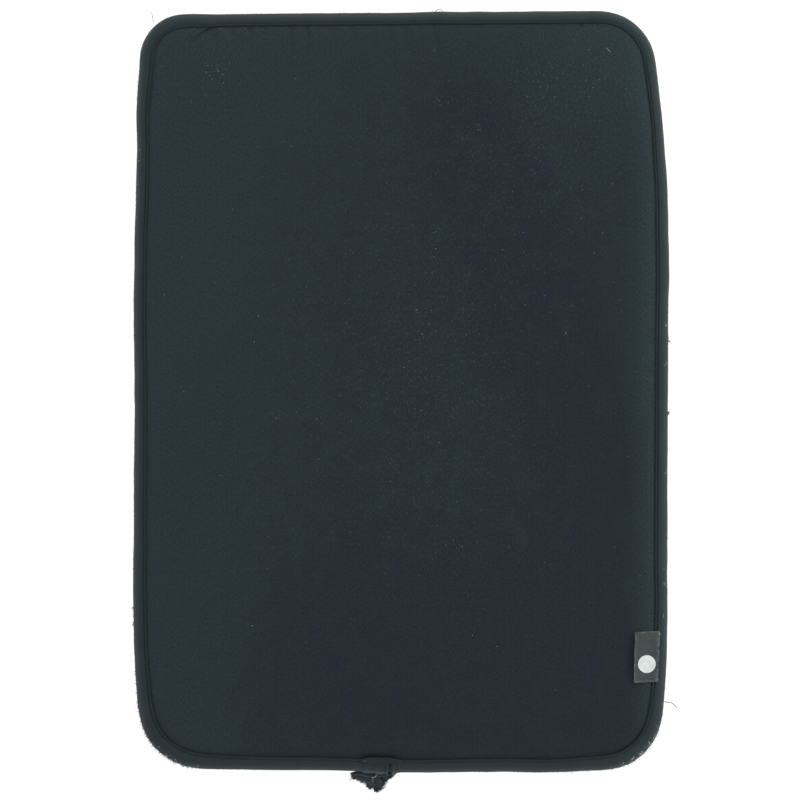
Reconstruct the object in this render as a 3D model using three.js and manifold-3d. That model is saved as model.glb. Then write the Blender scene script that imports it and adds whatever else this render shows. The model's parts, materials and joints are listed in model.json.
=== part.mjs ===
// Zip-round neoprene laptop sleeve lying on its back, in millimetres.
// +Y runs along the long side, +Z points out of the front panel, z = 0 is the back face.
// The front panel opens like a book cover: everything left of the fold line is the flap.

import * as THREE from 'three';
import { mergeVertices } from 'three/addons/utils/BufferGeometryUtils.js';
import Module from 'manifold-3d';

const wasm = await Module();
wasm.setup();

// ---- driving dimensions -------------------------------------------------------------

const THICKNESS = 30;
const PANEL = 4.5;
const LINING = 0.8;
const BAND = 3.2;
const BULGE = 7;
const WELT_RADIUS = 0.7;
const WELT_SETBACK = 0.1;
const GAP = 0.3;

// Corners of the outer silhouette, counter-clockwise seen from the front: x, y, rounding radius.
const SILHOUETTE = [
  { x: -133.5, y: 191.4, r: 25 },
  { x: -136.5, y: -130, r: 500 },
  { x: -130.2, y: -191.9, r: 33 },
  { x: 6, y: -194.1, r: 850 },
  { x: 131.9, y: -193, r: 32.5 },
  { x: 135.4, y: -138, r: 570 },
  { x: 136.5, y: 115, r: 600 },
  { x: 126.1, y: 193.5, r: 29.5 },
];
const CORNER_STEP = Math.PI / 18;

// The fold line joins the two ends of the zip.
const FOLD_TOP_X = 15;
const FOLD_BOTTOM_X = -24;
const ZIP_END_X = -6;

// Distances called inner or outer are measured outwards from the seam.
const BINDING = { inner: -1.2, outer: 0.4, height: 2.2 };

const TAPE_INNER = 2.2;
const TAPE = 0.6;
const TAPE_REACH = 7;
const ZIP_OPENING = 9;
const COIL_WIDTH = 2;
const COIL_HEIGHT = 1.8;
const CHAIN_PARTING = 1;
const TOP_STOP = 3;
const BOTTOM_STOP = 1.4;

const SLIDER_X = -14;
const SLIDER = { length: 12, plate: 1.2, shoulder: 2, taper: 1, mouth: 0.8, clearance: 0.4 };
const LUG = { rise: 1.3, radius: 2, hole: 0.9, width: 1.6 };
const WELD = 0.2;
const PULL_RING = { reach: 3.6, wire: 0.5, halfWidth: 2.2 };
const PULL_TAIL = { neck: 2.4, halfWidth: 4.6, shoulder: 2.6, length: 6, thickness: 2 };

const GARAGE = { left: -21.6, right: -6.4, thickness: 1, clearance: 0.35, lip: 0.7 };

const LABEL = { x: 124.5, y: -134.6, width: 12.4, length: 25.7, thickness: 0.5 };

// ---- levels worked out from them ----------------------------------------------------

const MIDDLE = THICKNESS / 2;
const WELT_HEIGHT = 2 * WELT_RADIUS;
const WELT_OUT = WELT_RADIUS + WELT_SETBACK;
const BAND_TOP = THICKNESS - WELT_SETBACK - WELT_HEIGHT - GAP;
const BAND_BOTTOM = THICKNESS - BAND_TOP;
const FRONT_STRIP_BOTTOM = MIDDLE + ZIP_OPENING / 2;
const BACK_STRIP_TOP = MIDDLE - ZIP_OPENING / 2;
const LINING_LEVEL = PANEL + GAP;
const BINDING_LEVEL = LINING_LEVEL + LINING + GAP;
const COIL_INNER = TAPE_INNER + TAPE + GAP;
const SLIDER_PLATE_INNER = COIL_INNER + COIL_WIDTH + GAP;
const SLIDER_OUTER = SLIDER_PLATE_INNER + SLIDER.plate;
const PULL_PIVOT = SLIDER_OUTER + LUG.rise;

// ---- colours ------------------------------------------------------------------------

const KNIT = { color: 0x283035, roughness: 0.95 };
const BAND_KNIT = { color: 0x3c4545, roughness: 0.95 };
const PIPING = { color: 0x2e3739, roughness: 0.85 };
const PLUSH = { color: 0x35383b, roughness: 1 };
const BINDING_TAPE = { color: 0x1c1f20, roughness: 0.9 };
const ZIP_TAPE = { color: 0x17191a, roughness: 0.85 };
const COIL_NYLON = { color: 0x1b1d1f, roughness: 0.45 };
const GUNMETAL = { color: 0x4a4c4e, roughness: 0.35, metalness: 1 };
const TEXTILE = { color: 0x2a2e31, roughness: 0.95 };
const LABEL_SATIN = { color: 0x464848, roughness: 0.6 };

const sleeve = new THREE.Group();

function addPart(name, geometry, look, parent = sleeve) {
  const mesh = new THREE.Mesh(geometry, new THREE.MeshStandardMaterial(look));
  mesh.name = name;
  parent.add(mesh);
}

// ---- the seam line ------------------------------------------------------------------

// A station is a point of the seam between panel and band, with the outward direction there.
function cornerStations(before, corner, after) {
  const here = new THREE.Vector2(corner.x, corner.y);
  const into = here.clone().sub(new THREE.Vector2(before.x, before.y)).normalize();
  const away = new THREE.Vector2(after.x, after.y).sub(here).normalize();
  const turn = Math.acos(into.dot(away));
  const start = Math.atan2(-into.x, into.y);
  const tangent = corner.r * Math.tan(turn / 2);
  const startNormal = new THREE.Vector2(into.y, -into.x);
  const centre = here.addScaledVector(into, -tangent).addScaledVector(startNormal, -corner.r);
  const steps = Math.max(2, Math.ceil(turn / CORNER_STEP));
  const stations = [];
  for (let k = 0; k <= steps; k += 1) {
    const angle = start + (turn * k) / steps;
    const normal = new THREE.Vector2(Math.cos(angle), Math.sin(angle));
    const point = centre.clone().addScaledVector(normal, corner.r - BULGE);
    stations.push({ point, normal });
  }
  return stations;
}

const SEAM = SILHOUETTE.flatMap((corner, i) => {
  const before = SILHOUETTE.at(i - 1);
  const after = SILHOUETTE[(i + 1) % SILHOUETTE.length];
  return cornerStations(before, corner, after);
});

function between(a, b, share) {
  return {
    point: a.point.clone().lerp(b.point, share),
    normal: a.normal.clone().lerp(b.normal, share).normalize(),
  };
}

// The place on the top edge (side = 1) or the bottom edge (side = -1) at a given x.
function placeAt(x, side) {
  for (let i = 0; i < SEAM.length; i += 1) {
    const a = SEAM[i];
    const b = SEAM[(i + 1) % SEAM.length];
    const share = (x - a.point.x) / (b.point.x - a.point.x);
    if (side * a.normal.y > 0.9 && share >= 0 && share < 1) {
      return { index: i, ...between(a, b, share) };
    }
  }
  throw new Error(`the seam has no place at x = ${x}`);
}

// The stations from one place on the seam to another, counter-clockwise.
function seamRun(from, to) {
  const run = [from];
  const count = (to.index - from.index + SEAM.length) % SEAM.length;
  for (let k = 1; k <= count; k += 1) {
    run.push(SEAM[(from.index + k) % SEAM.length]);
  }
  run.push(to);
  return run;
}

function offsetPoint({ point, normal }, out) {
  return point.clone().addScaledVector(normal, out);
}

// ---- solids -------------------------------------------------------------------------

function facesUp(points, [a, b, c]) {
  const ab = points[b].clone().sub(points[a]);
  const ac = points[c].clone().sub(points[a]);
  return ab.cross(ac) > 0 ? [a, b, c] : [a, c, b];
}

// Sweeps a section, a counter-clockwise list of [out, z], along a run of seam stations.
function sweep(section, run, closed = false) {
  const points = section.map(([out, z]) => new THREE.Vector2(out, z));
  const positions = run.flatMap((station) =>
    section.flatMap(([out, z]) => [...offsetPoint(station, out).toArray(), z]),
  );
  const size = section.length;
  const spans = closed ? run.length : run.length - 1;
  const indices = [];
  for (let i = 0; i < spans; i += 1) {
    const here = i * size;
    const next = ((i + 1) % run.length) * size;
    for (let j = 0; j < size; j += 1) {
      const k = (j + 1) % size;
      indices.push(here + k, here + j, next + j);
      indices.push(here + k, next + j, next + k);
    }
  }
  if (!closed) {
    const last = (run.length - 1) * size;
    for (const face of THREE.ShapeUtils.triangulateShape(points, [])) {
      const [a, b, c] = facesUp(points, face);
      indices.push(a, b, c);
      indices.push(last + a, last + c, last + b);
    }
  }
  const geometry = new THREE.BufferGeometry();
  geometry.setAttribute('position', new THREE.Float32BufferAttribute(positions, 3));
  geometry.setIndex(indices);
  geometry.computeVertexNormals();
  return geometry;
}

// A flat plate bounded by a run of the seam, set in by a margin and closed by a straight edge.
function plate(run, inset, bottom, thickness) {
  const outline = new THREE.Shape(run.map((station) => offsetPoint(station, -inset)));
  const geometry = new THREE.ExtrudeGeometry(outline, { depth: thickness, bevelEnabled: false });
  return geometry.translate(0, 0, bottom);
}

// A slab standing on the side band: an outline in (along, z), thick from one distance to another.
function slab(outline, inner, outer) {
  const shape = new THREE.Shape(outline.map(([along, z]) => new THREE.Vector2(along, z)));
  const geometry = new THREE.ExtrudeGeometry(shape, { depth: outer - inner, bevelEnabled: false });
  return geometry.rotateX(Math.PI / 2).translate(0, outer, 0);
}

function box(along, inner, outer, low, high) {
  const outline = [[-along, low], [along, low], [along, high], [-along, high]];
  return slab(outline, inner, outer);
}

function toManifold(geometry) {
  const bare = geometry.clone();
  bare.deleteAttribute('normal');
  bare.deleteAttribute('uv');
  const merged = mergeVertices(bare, 1e-4);
  const vertProperties = new Float32Array(merged.attributes.position.array);
  const triVerts = new Uint32Array(merged.index.array);
  return new wasm.Manifold(new wasm.Mesh({ numProp: 3, vertProperties, triVerts }));
}

function joined(geometries) {
  const whole = geometries.map(toManifold).reduce((sum, next) => sum.add(next));
  const { vertProperties, triVerts } = whole.getMesh();
  const geometry = new THREE.BufferGeometry();
  geometry.setAttribute('position', new THREE.BufferAttribute(vertProperties, 3));
  geometry.setIndex(new THREE.BufferAttribute(triVerts, 1));
  geometry.computeVertexNormals();
  return geometry;
}

function circle(x, y, radius, sides) {
  return Array.from({ length: sides }, (_, k) => {
    const angle = (2 * Math.PI * (k + 0.5)) / sides;
    return [x + radius * Math.cos(angle), y + radius * Math.sin(angle)];
  });
}

// ---- sections, as [out, z] ----------------------------------------------------------

function mirrored(section) {
  return section.map(([out, z]) => [out, THICKNESS - z]).reverse();
}

// The outer surface of the band: it stands out most at half height.
function bandOuter(z) {
  const t = Math.abs(z - MIDDLE) / (BAND_TOP - MIDDLE);
  return BAND + (BULGE - BAND) * (1 - t ** 2.5);
}

function bandSection(low, high, steps) {
  const outer = [];
  const inner = [];
  for (let k = 0; k <= steps; k += 1) {
    const z = low + ((high - low) * k) / steps;
    outer.push([bandOuter(z), z]);
    inner.unshift([bandOuter(z) - BAND, z]);
  }
  return [...outer, ...inner];
}

const frontWelt = circle(WELT_OUT, THICKNESS - WELT_OUT, WELT_RADIUS, 8);
const frontTape = [
  [TAPE_INNER, MIDDLE + CHAIN_PARTING / 2],
  [TAPE_INNER + TAPE, MIDDLE + CHAIN_PARTING / 2],
  [TAPE_INNER + TAPE, MIDDLE + TAPE_REACH],
  [TAPE_INNER, MIDDLE + TAPE_REACH],
];
const frontCoil = circle(0, 0, 1, 8).map(([out, z]) => [
  COIL_INNER + (COIL_WIDTH / 2) * (1 + out),
  MIDDLE + CHAIN_PARTING / 2 + (COIL_HEIGHT / 2) * (1 + z),
]);
const backBinding = [
  [BINDING.inner, BINDING_LEVEL],
  [BINDING.outer, BINDING_LEVEL],
  [BINDING.outer, BINDING_LEVEL + BINDING.height],
  [BINDING.inner, BINDING_LEVEL + BINDING.height],
];

// ---- runs of the seam that the pieces follow ----------------------------------------

const flapRun = seamRun(placeAt(FOLD_TOP_X - GAP / 2, 1), placeAt(FOLD_BOTTOM_X - GAP / 2, -1));
const fixedRun = seamRun(placeAt(FOLD_BOTTOM_X + GAP / 2, -1), placeAt(FOLD_TOP_X + GAP / 2, 1));
const zipRun = seamRun(placeAt(FOLD_TOP_X - GAP / 2, 1), placeAt(ZIP_END_X - GAP / 2, -1));
const closedRun = seamRun(placeAt(ZIP_END_X + GAP / 2, -1), placeAt(FOLD_TOP_X + GAP / 2, 1));
const endRun = seamRun(placeAt(FOLD_BOTTOM_X + GAP / 2, -1), placeAt(ZIP_END_X - GAP / 2, -1));

// ---- pieces -------------------------------------------------------------------------

function addPanels() {
  const frontLevel = THICKNESS - PANEL;
  const frontLining = frontLevel - GAP - LINING;
  addPart('back_panel', plate(SEAM, GAP, 0, PANEL), KNIT);
  addPart('back_lining', plate(SEAM, 2 * GAP, LINING_LEVEL, LINING), PLUSH);
  addPart('front_panel_fixed', plate(fixedRun, GAP, frontLevel, PANEL), KNIT);
  addPart('front_panel_flap', plate(flapRun, GAP, frontLevel, PANEL), KNIT);
  addPart('front_lining_fixed', plate(fixedRun, 2 * GAP, frontLining, LINING), PLUSH);
  addPart('front_lining_flap', plate(flapRun, 2 * GAP, frontLining, LINING), PLUSH);
}

function addSideBands() {
  const frontStrip = bandSection(FRONT_STRIP_BOTTOM, BAND_TOP, 4);
  const backStrip = bandSection(BAND_BOTTOM, BACK_STRIP_TOP, 4);
  addPart('side_band_closed', sweep(bandSection(BAND_BOTTOM, BAND_TOP, 8), closedRun), BAND_KNIT);
  addPart('side_band_back', sweep(backStrip, zipRun), BAND_KNIT);
  addPart('side_band_flap', sweep(frontStrip, flapRun), BAND_KNIT);
  addPart('side_band_end', sweep(frontStrip, endRun), BAND_KNIT);
}

function addPiping() {
  addPart('back_welt', sweep(mirrored(frontWelt), SEAM, true), PIPING);
  addPart('front_welt_fixed', sweep(frontWelt, fixedRun), PIPING);
  addPart('front_welt_flap', sweep(frontWelt, flapRun), PIPING);
}

function addBindings() {
  const frontBinding = mirrored(backBinding);
  addPart('binding_back', sweep(backBinding, SEAM, true), BINDING_TAPE);
  addPart('binding_front_fixed', sweep(frontBinding, fixedRun), BINDING_TAPE);
  addPart('binding_front_flap', sweep(frontBinding, flapRun), BINDING_TAPE);
}

function addZip() {
  const coilTopX = FOLD_TOP_X - TOP_STOP;
  const coilEndX = ZIP_END_X - BOTTOM_STOP - 2 * GAP;
  const topPlace = placeAt(coilTopX, 1);
  const foldPlace = flapRun.at(-1);
  const coilEnd = placeAt(coilEndX, -1);
  addPart('zip_tape_back', sweep(mirrored(frontTape), zipRun), ZIP_TAPE);
  addPart('zip_tape_flap', sweep(frontTape, flapRun), ZIP_TAPE);
  addPart('zip_tape_end', sweep(frontTape, endRun), ZIP_TAPE);
  addPart('zip_coil_back', sweep(mirrored(frontCoil), seamRun(topPlace, coilEnd)), COIL_NYLON);
  addPart('zip_coil_flap', sweep(frontCoil, seamRun(topPlace, foldPlace)), COIL_NYLON);
  addPart('zip_coil_end', sweep(frontCoil, seamRun(endRun[0], coilEnd)), COIL_NYLON);

  // The top stop only clamps the back chain, so the flap lifts clear of it.
  const stopLow = MIDDLE - CHAIN_PARTING / 2 - COIL_HEIGHT;
  const topRun = seamRun(placeAt(FOLD_TOP_X - GAP, 1), placeAt(coilTopX + GAP, 1));
  const bottomRun = seamRun(placeAt(coilEndX + GAP, -1), placeAt(ZIP_END_X - GAP, -1));
  const topSection = stopSection(stopLow, MIDDLE + CHAIN_PARTING / 4);
  const bottomSection = stopSection(stopLow, THICKNESS - stopLow);
  addPart('zip_stop_top', sweep(topSection, topRun), GUNMETAL);
  addPart('zip_stop_bottom', sweep(bottomSection, bottomRun), GUNMETAL);
}

function stopSection(low, high) {
  const outer = COIL_INNER + COIL_WIDTH + GAP;
  return [[COIL_INNER, low], [outer, low], [outer, high], [COIL_INNER, high]];
}

// The fabric hood sewn into the front seam that covers the parked slider.
function addGarage() {
  const steps = 4;
  const low = FRONT_STRIP_BOTTOM + GAP;
  const high = BAND_TOP - GAP;
  const outer = [];
  const inner = [];
  for (let k = 0; k <= steps; k += 1) {
    const z = low + ((high - low) * k) / steps;
    outer.push([bandOuter(z) + GARAGE.clearance + GARAGE.thickness, z]);
    inner.unshift([bandOuter(z) + GARAGE.clearance, z]);
  }
  const besideWelt = WELT_SETBACK + WELT_HEIGHT + GAP;
  const lip = [
    [BAND, THICKNESS - GARAGE.lip],
    [besideWelt, THICKNESS - WELT_SETBACK],
    [besideWelt, BAND_TOP + GAP],
    [BAND + GARAGE.clearance, BAND_TOP + GAP],
  ];
  const run = seamRun(placeAt(GARAGE.left, -1), placeAt(GARAGE.right, -1));
  addPart('zip_garage', sweep([...outer, ...lip, ...inner], run), KNIT);
}

function addLabel() {
  const geometry = new THREE.BoxGeometry(LABEL.width, LABEL.length, LABEL.thickness);
  geometry.translate(LABEL.x, LABEL.y, THICKNESS + GAP + LABEL.thickness / 2);
  addPart('label', geometry, LABEL_SATIN);
}

// A group whose +X runs along the band towards the open side and whose +Y points outwards.
function bandFrame(place) {
  const group = new THREE.Group();
  group.position.set(place.point.x, place.point.y, 0);
  group.rotation.z = Math.atan2(-place.normal.x, place.normal.y);
  return group;
}

// A plate that narrows to the tail on its left and less so to the mouth on its right.
function sliderPlateOutline(halfWidth) {
  const nose = SLIDER.length / 2;
  const shoulder = nose - SLIDER.shoulder;
  const tail = halfWidth - SLIDER.taper;
  const mouth = tail - SLIDER.mouth;
  return [
    [-nose, MIDDLE - tail],
    [-shoulder, MIDDLE - halfWidth],
    [shoulder, MIDDLE - halfWidth],
    [nose, MIDDLE - mouth],
    [nose, MIDDLE + mouth],
    [shoulder, MIDDLE + halfWidth],
    [-shoulder, MIDDLE + halfWidth],
    [-nose, MIDDLE + tail],
  ];
}

// Half a ring standing on the outer plate, whose hole holds the pull's pin.
function sliderLug() {
  const foot = SLIDER_OUTER - WELD;
  const outline = new THREE.Shape();
  outline.moveTo(-LUG.radius, foot);
  outline.lineTo(LUG.radius, foot);
  outline.lineTo(LUG.radius, PULL_PIVOT);
  outline.absarc(0, PULL_PIVOT, LUG.radius, 0, Math.PI);
  const hole = new THREE.Path();
  hole.absarc(0, PULL_PIVOT, LUG.hole, 0, 2 * Math.PI, true);
  outline.holes.push(hole);
  const geometry = new THREE.ExtrudeGeometry(outline, {
    depth: LUG.width,
    bevelEnabled: false,
    curveSegments: 8,
  });
  return geometry.translate(0, 0, MIDDLE - LUG.width / 2);
}

// Two plates, inside and outside the chain, joined by two flanges and a thin web in the parting.
function addSlider(frame) {
  const halfWidth = ZIP_OPENING / 2 - SLIDER.clearance;
  const chainTop = MIDDLE + CHAIN_PARTING / 2 + COIL_HEIGHT;
  const flangeLow = chainTop + SLIDER.clearance;
  const flangeHigh = MIDDLE + halfWidth;
  const flangeHalf = SLIDER.length / 2 - SLIDER.shoulder;
  const flange = [COIL_INNER + GAP / 2, SLIDER_PLATE_INNER + WELD];
  const innerPlate = TAPE_INNER - GAP;
  const webHalf = flangeHalf / 2;
  const webHeight = CHAIN_PARTING / 5;
  const pieces = [
    slab(sliderPlateOutline(halfWidth), SLIDER_PLATE_INNER, SLIDER_OUTER),
    slab(sliderPlateOutline(halfWidth - GAP), innerPlate - SLIDER.plate, innerPlate),
    box(flangeHalf, ...flange, flangeLow, flangeHigh),
    box(flangeHalf, ...flange, THICKNESS - flangeHigh, THICKNESS - flangeLow),
    box(webHalf, innerPlate - WELD, flange[1], MIDDLE - webHeight, MIDDLE + webHeight),
    sliderLug(),
  ];
  addPart('slider_body', joined(pieces), GUNMETAL, frame);
}

function wire(from, to) {
  const axis = to.clone().sub(from);
  const geometry = new THREE.CylinderGeometry(PULL_RING.wire, PULL_RING.wire, axis.length(), 8);
  const up = new THREE.Vector3(0, 1, 0);
  const turn = new THREE.Quaternion().setFromUnitVectors(up, axis.normalize());
  geometry.applyQuaternion(turn);
  const middle = from.clone().add(to).multiplyScalar(0.5);
  return geometry.translate(middle.x, middle.y, middle.z);
}

// A closed wire ring: its inner bar turns in the slider's lug, its outer bar holds the fabric.
function addPullRing(frame) {
  const near = PULL_PIVOT;
  const far = PULL_PIVOT + PULL_RING.reach;
  const low = MIDDLE - PULL_RING.halfWidth;
  const high = MIDDLE + PULL_RING.halfWidth;
  const tip = PULL_RING.wire;
  const bars = [
    [new THREE.Vector3(0, near, low - tip), new THREE.Vector3(0, near, high + tip)],
    [new THREE.Vector3(0, far, low - tip), new THREE.Vector3(0, far, high + tip)],
    [new THREE.Vector3(0, near - tip, low), new THREE.Vector3(0, far + tip, low)],
    [new THREE.Vector3(0, near - tip, high), new THREE.Vector3(0, far + tip, high)],
  ];
  const pieces = bars.map(([from, to]) => wire(from, to));
  addPart('pull_ring', joined(pieces), GUNMETAL, frame);
}

// The worn end of the fabric pull, flattened into a kite.
function addPullFabric(frame) {
  const start = PULL_PIVOT + PULL_RING.reach + PULL_RING.wire + GAP;
  const tip = start + PULL_TAIL.length;
  const shoulder = start + PULL_TAIL.shoulder;
  const outline = new THREE.Shape([
    new THREE.Vector2(-PULL_TAIL.neck, start),
    new THREE.Vector2(PULL_TAIL.neck, start),
    new THREE.Vector2(PULL_TAIL.halfWidth, shoulder),
    new THREE.Vector2(0, tip),
    new THREE.Vector2(-PULL_TAIL.halfWidth, shoulder),
  ]);
  const settings = { depth: PULL_TAIL.thickness, bevelEnabled: false };
  const geometry = new THREE.ExtrudeGeometry(outline, settings);
  geometry.translate(0, 0, MIDDLE - PULL_TAIL.thickness / 2);
  addPart('pull_fabric', geometry, TEXTILE, frame);
}

addPanels();
addSideBands();
addPiping();
addBindings();
addZip();
addGarage();
addLabel();

const sliderFrame = bandFrame(placeAt(SLIDER_X, -1));
sleeve.add(sliderFrame);
addSlider(sliderFrame);
addPullRing(sliderFrame);
addPullFabric(sliderFrame);

export default sleeve;
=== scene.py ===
"""The looks of a zip-round laptop sleeve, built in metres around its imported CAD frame."""

import json
import math

import bmesh
import bpy
import numpy as np
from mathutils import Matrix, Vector


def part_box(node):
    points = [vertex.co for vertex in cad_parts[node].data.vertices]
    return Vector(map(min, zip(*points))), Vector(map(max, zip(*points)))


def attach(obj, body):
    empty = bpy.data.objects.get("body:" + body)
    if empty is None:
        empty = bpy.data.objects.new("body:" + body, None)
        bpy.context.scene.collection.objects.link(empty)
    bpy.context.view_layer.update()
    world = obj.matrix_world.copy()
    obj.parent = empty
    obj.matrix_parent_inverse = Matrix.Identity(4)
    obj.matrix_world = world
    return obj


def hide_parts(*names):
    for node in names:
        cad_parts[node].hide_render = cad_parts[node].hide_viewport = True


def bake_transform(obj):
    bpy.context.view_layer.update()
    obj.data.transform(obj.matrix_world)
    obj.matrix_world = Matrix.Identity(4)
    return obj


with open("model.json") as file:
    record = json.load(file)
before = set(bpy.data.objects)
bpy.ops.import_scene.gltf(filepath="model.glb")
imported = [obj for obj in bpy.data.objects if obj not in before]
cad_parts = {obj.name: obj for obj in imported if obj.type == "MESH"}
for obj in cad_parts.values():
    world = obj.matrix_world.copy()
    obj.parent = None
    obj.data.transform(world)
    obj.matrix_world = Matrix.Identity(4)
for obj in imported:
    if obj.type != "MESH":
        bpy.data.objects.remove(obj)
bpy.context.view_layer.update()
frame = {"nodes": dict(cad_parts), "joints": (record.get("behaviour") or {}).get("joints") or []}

MM = 0.001
RNG = np.random.default_rng(7)

# ---- sizes and places in millimetres, worked out from the frame --------------------------

def extent(node, axis):
    """The lowest and the highest x, y or z of a piece of the frame."""
    return [getattr(corner, axis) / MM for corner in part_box(node)]


def heights(node):
    """The lowest and the highest z of a piece of the frame."""
    return extent(node, "z")


TOP = heights("front_welt_fixed")[1]
MIDDLE = sum(heights("side_band_closed")) / 2
PANEL_UNDER = heights("front_panel_flap")[0]
BACK_INSIDE = heights("back_panel")[1]
BAND_HALF = heights("side_band_closed")[1] - MIDDLE
STRIP_EDGE = heights("side_band_flap")[0] - MIDDLE
# The piping is thinner than its CAD stand-in, and its middle lies a little outside the seam.
WELT_RADIUS = 0.7 * (heights("back_welt")[1] - heights("back_welt")[0]) / 2
WELT_OUT = 0.6
# How far the padded band stands out from the seam, and how thick its foam is.
BULGE = 7.0
FOAM = 3.2

# The places on the zip's path, as x on the top or the bottom edge, in millimetres.
FOLD_TOP_X = extent("front_panel_flap", "x")[1]
ZIP_END_X = extent("zip_tape_end", "x")[1]
COIL_TOP_X = extent("zip_stop_top", "x")[0]
COIL_END_X = extent("zip_coil_end", "x")[1]
PARKED_X = ((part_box("slider_body")[0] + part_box("slider_body")[1]) / 2 / MM).x

# The patch over the parked slider: its left edge, its fold, and the end of its tail.
GARAGE_LEFT = extent("zip_garage", "x")[0] + 1.0
GARAGE_FOLD = extent("zip_garage", "x")[1]
GARAGE_RIGHT = GARAGE_FOLD + 7.2

# The joint of each name.
JOINTS = {joint["name"]: joint for joint in frame["joints"]}


# ---- camera, first of all ----------------------------------------------------------------

def add_camera():
    """Straight above, and far off; the picture takes in this width at half the sleeve's height."""
    width = 0.4072
    centre_x, centre_y = -0.0003, -0.0046
    data = bpy.data.cameras.new("overhead")
    data.lens = 250
    data.sensor_width = 36
    camera = bpy.data.objects.new("overhead", data)
    bpy.context.scene.collection.objects.link(camera)
    distance = width * data.lens / data.sensor_width
    camera.location = (centre_x, centre_y, MIDDLE * MM + distance)
    bpy.context.scene.camera = camera


add_camera()


# ---- the seam line, in millimetres -------------------------------------------------------

# Small dents and swellings of the worn outline: x, y, reach along the seam, amount outwards.
NUDGES = (
    # the zip side, from the top down
    (-133, 167, 11, -1.3), (-135, 139, 10, 1.3), (-135, 77, 11, 0.8), (-136, 56, 50, 0.6),
    (-136, 42, 24, 0.5), (-135, -157, 16, 0.5), (-126, -181, 9, 0.4), (-107, -191, 9, -0.4),
    # the bottom, from the left
    (-38, -193, 20, -0.4), (72, -194, 14, 0.7), (96, -193, 8, -0.3), (107, -192, 12, -0.6),
    # the closed side, from the bottom up
    (117, -190, 9, 0.5), (133, -168, 10, -0.4), (136, -106, 14, 0.5), (136, 56, 14, 0.5),
    (135, 97, 12, 0.5), (134, 118, 8, -0.4), (132, 138, 12, 0.5), (117, 190, 12, 0.4),
    # the top
    (15, 193, 10, 0.5), (-117, 190, 14, 0.5),
)

# Where the band is fuller and the seam lies further in for it: x, y, reach, amount.
FULLER = (
    # the corners
    (-117, 180, 24, 1.0), (-120, -180, 28, 1.9), (121, -181, 27, 1.6),
    # the bottom, the zip side and the closed side
    (-75, -193, 35, 0.4), (50, -194, 30, 0.4), (-135, -110, 45, 0.4), (-135, 40, 100, -0.3),
    (134, 140, 34, -0.8),
)

SEAM_POINTS = 2432


def bell(value):
    """1 at 0, falling softly to 0 on both sides."""
    return np.exp(-(value**2))


def unit(vectors):
    """Vectors of the same directions, each 1 long."""
    return vectors / np.linalg.norm(vectors, axis=-1, keepdims=True)


def bumps_along(line, bumps):
    """The sum of soft bumps (x, y, reach, amount) at each point of a line."""
    total = np.zeros(len(line))
    for x, y, reach, amount in bumps:
        far = np.linalg.norm(line - (x, y), axis=1) / reach
        total += amount * bell(far)
    return total


def read_seam():
    """The seam between panel and band, counter-clockwise, how far the wear has moved each point
    of it outwards, and how much fuller the band is there."""
    plate = frame["nodes"]["back_panel"].data
    corners = np.array([v.co for v in plate.vertices]) / MM
    rim = np.unique(np.round(corners[:, :2], 3), axis=0)
    rim = rim[np.argsort(np.arctan2(rim[:, 1], rim[:, 0]))]
    line = smoothed(resampled(rim, SEAM_POINTS), 8)
    fuller = bumps_along(line, FULLER)
    moved = bumps_along(line, NUDGES) - fuller
    clear_of_plate = 0.3
    return line + (clear_of_plate + moved)[:, None] * outward(line), moved, fuller


def lengths_along(line):
    """The distance from a line's start to each of its points."""
    steps = np.linalg.norm(np.diff(np.asarray(line, float), axis=0), axis=1)
    return np.concatenate([[0], np.cumsum(steps)])


def arc(line):
    """The length of a line."""
    return float(lengths_along(line)[-1])


def read_line(at, along, line):
    """Points between those of a line, where along is the place of each of its own."""
    return np.stack([np.interp(at, along, column) for column in line.T], axis=-1)


def resampled(loop, count):
    """Evenly spaced points round a closed line."""
    ring = np.vstack([loop, loop[:1]]).astype(float)
    along = lengths_along(ring)
    return read_line(np.arange(count) * along[-1] / count, along, ring)


def smooth_round(values, spread):
    """A Gaussian blur round a closed line; spread is in samples."""
    reach = 4 * spread
    kernel = np.exp(-0.5 * (np.arange(-reach, reach + 1) / spread) ** 2)
    kernel /= kernel.sum()
    padded = np.concatenate([values[-reach:], values, values[:reach]])
    return np.stack([np.convolve(padded[:, k], kernel, "valid") for k in range(2)], axis=1)


def smoothed(values, spread):
    """A blur that gives back what it took off the corners."""
    blurred = smooth_round(values, spread)
    return blurred + smooth_round(values - blurred, spread)


def outward(line):
    """The unit normals of a closed line that runs counter-clockwise."""
    ahead = np.roll(line, -1, axis=0) - np.roll(line, 1, axis=0)
    normal = np.stack([ahead[:, 1], -ahead[:, 0]], axis=1)
    return unit(normal)


SEAM, SEAM_MOVED, SEAM_FULLER = read_seam()
SEAM_OUT = unit(smoothed(outward(SEAM), 11))
SEAM_STEP = float(np.linalg.norm(np.diff(SEAM, axis=0), axis=1).mean())
SEAM_LENGTH = SEAM_STEP * len(SEAM)


def seam_at(s):
    """(points, outward directions) of the seam at distances s along it."""
    at = np.mod(np.asarray(s, float) / SEAM_STEP, len(SEAM))
    grid = np.arange(len(SEAM) + 1)
    return [read_line(at, grid, np.vstack([line, line[:1]])) for line in (SEAM, SEAM_OUT)]


def read_at(values, s):
    """Values kept for the seam's points, read at distances s along it."""
    at = np.mod(np.asarray(s, float) / SEAM_STEP, len(SEAM))
    return np.interp(at, np.arange(len(SEAM) + 1), np.append(values, values[0]))


def seam_place(x, side):
    """The distance along the seam of the top (side 1) or bottom (side -1) edge at x."""
    score = np.abs(SEAM[:, 0] - x) + 1e3 * (side * SEAM[:, 1] < 150)
    return float(np.argmin(score)) * SEAM_STEP


def seam_run(start, end, step):
    """Distances from one place on the seam counter-clockwise to another."""
    length = (end - start) % SEAM_LENGTH
    return start + np.linspace(0, length, max(3, int(length / step) + 1))


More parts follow.
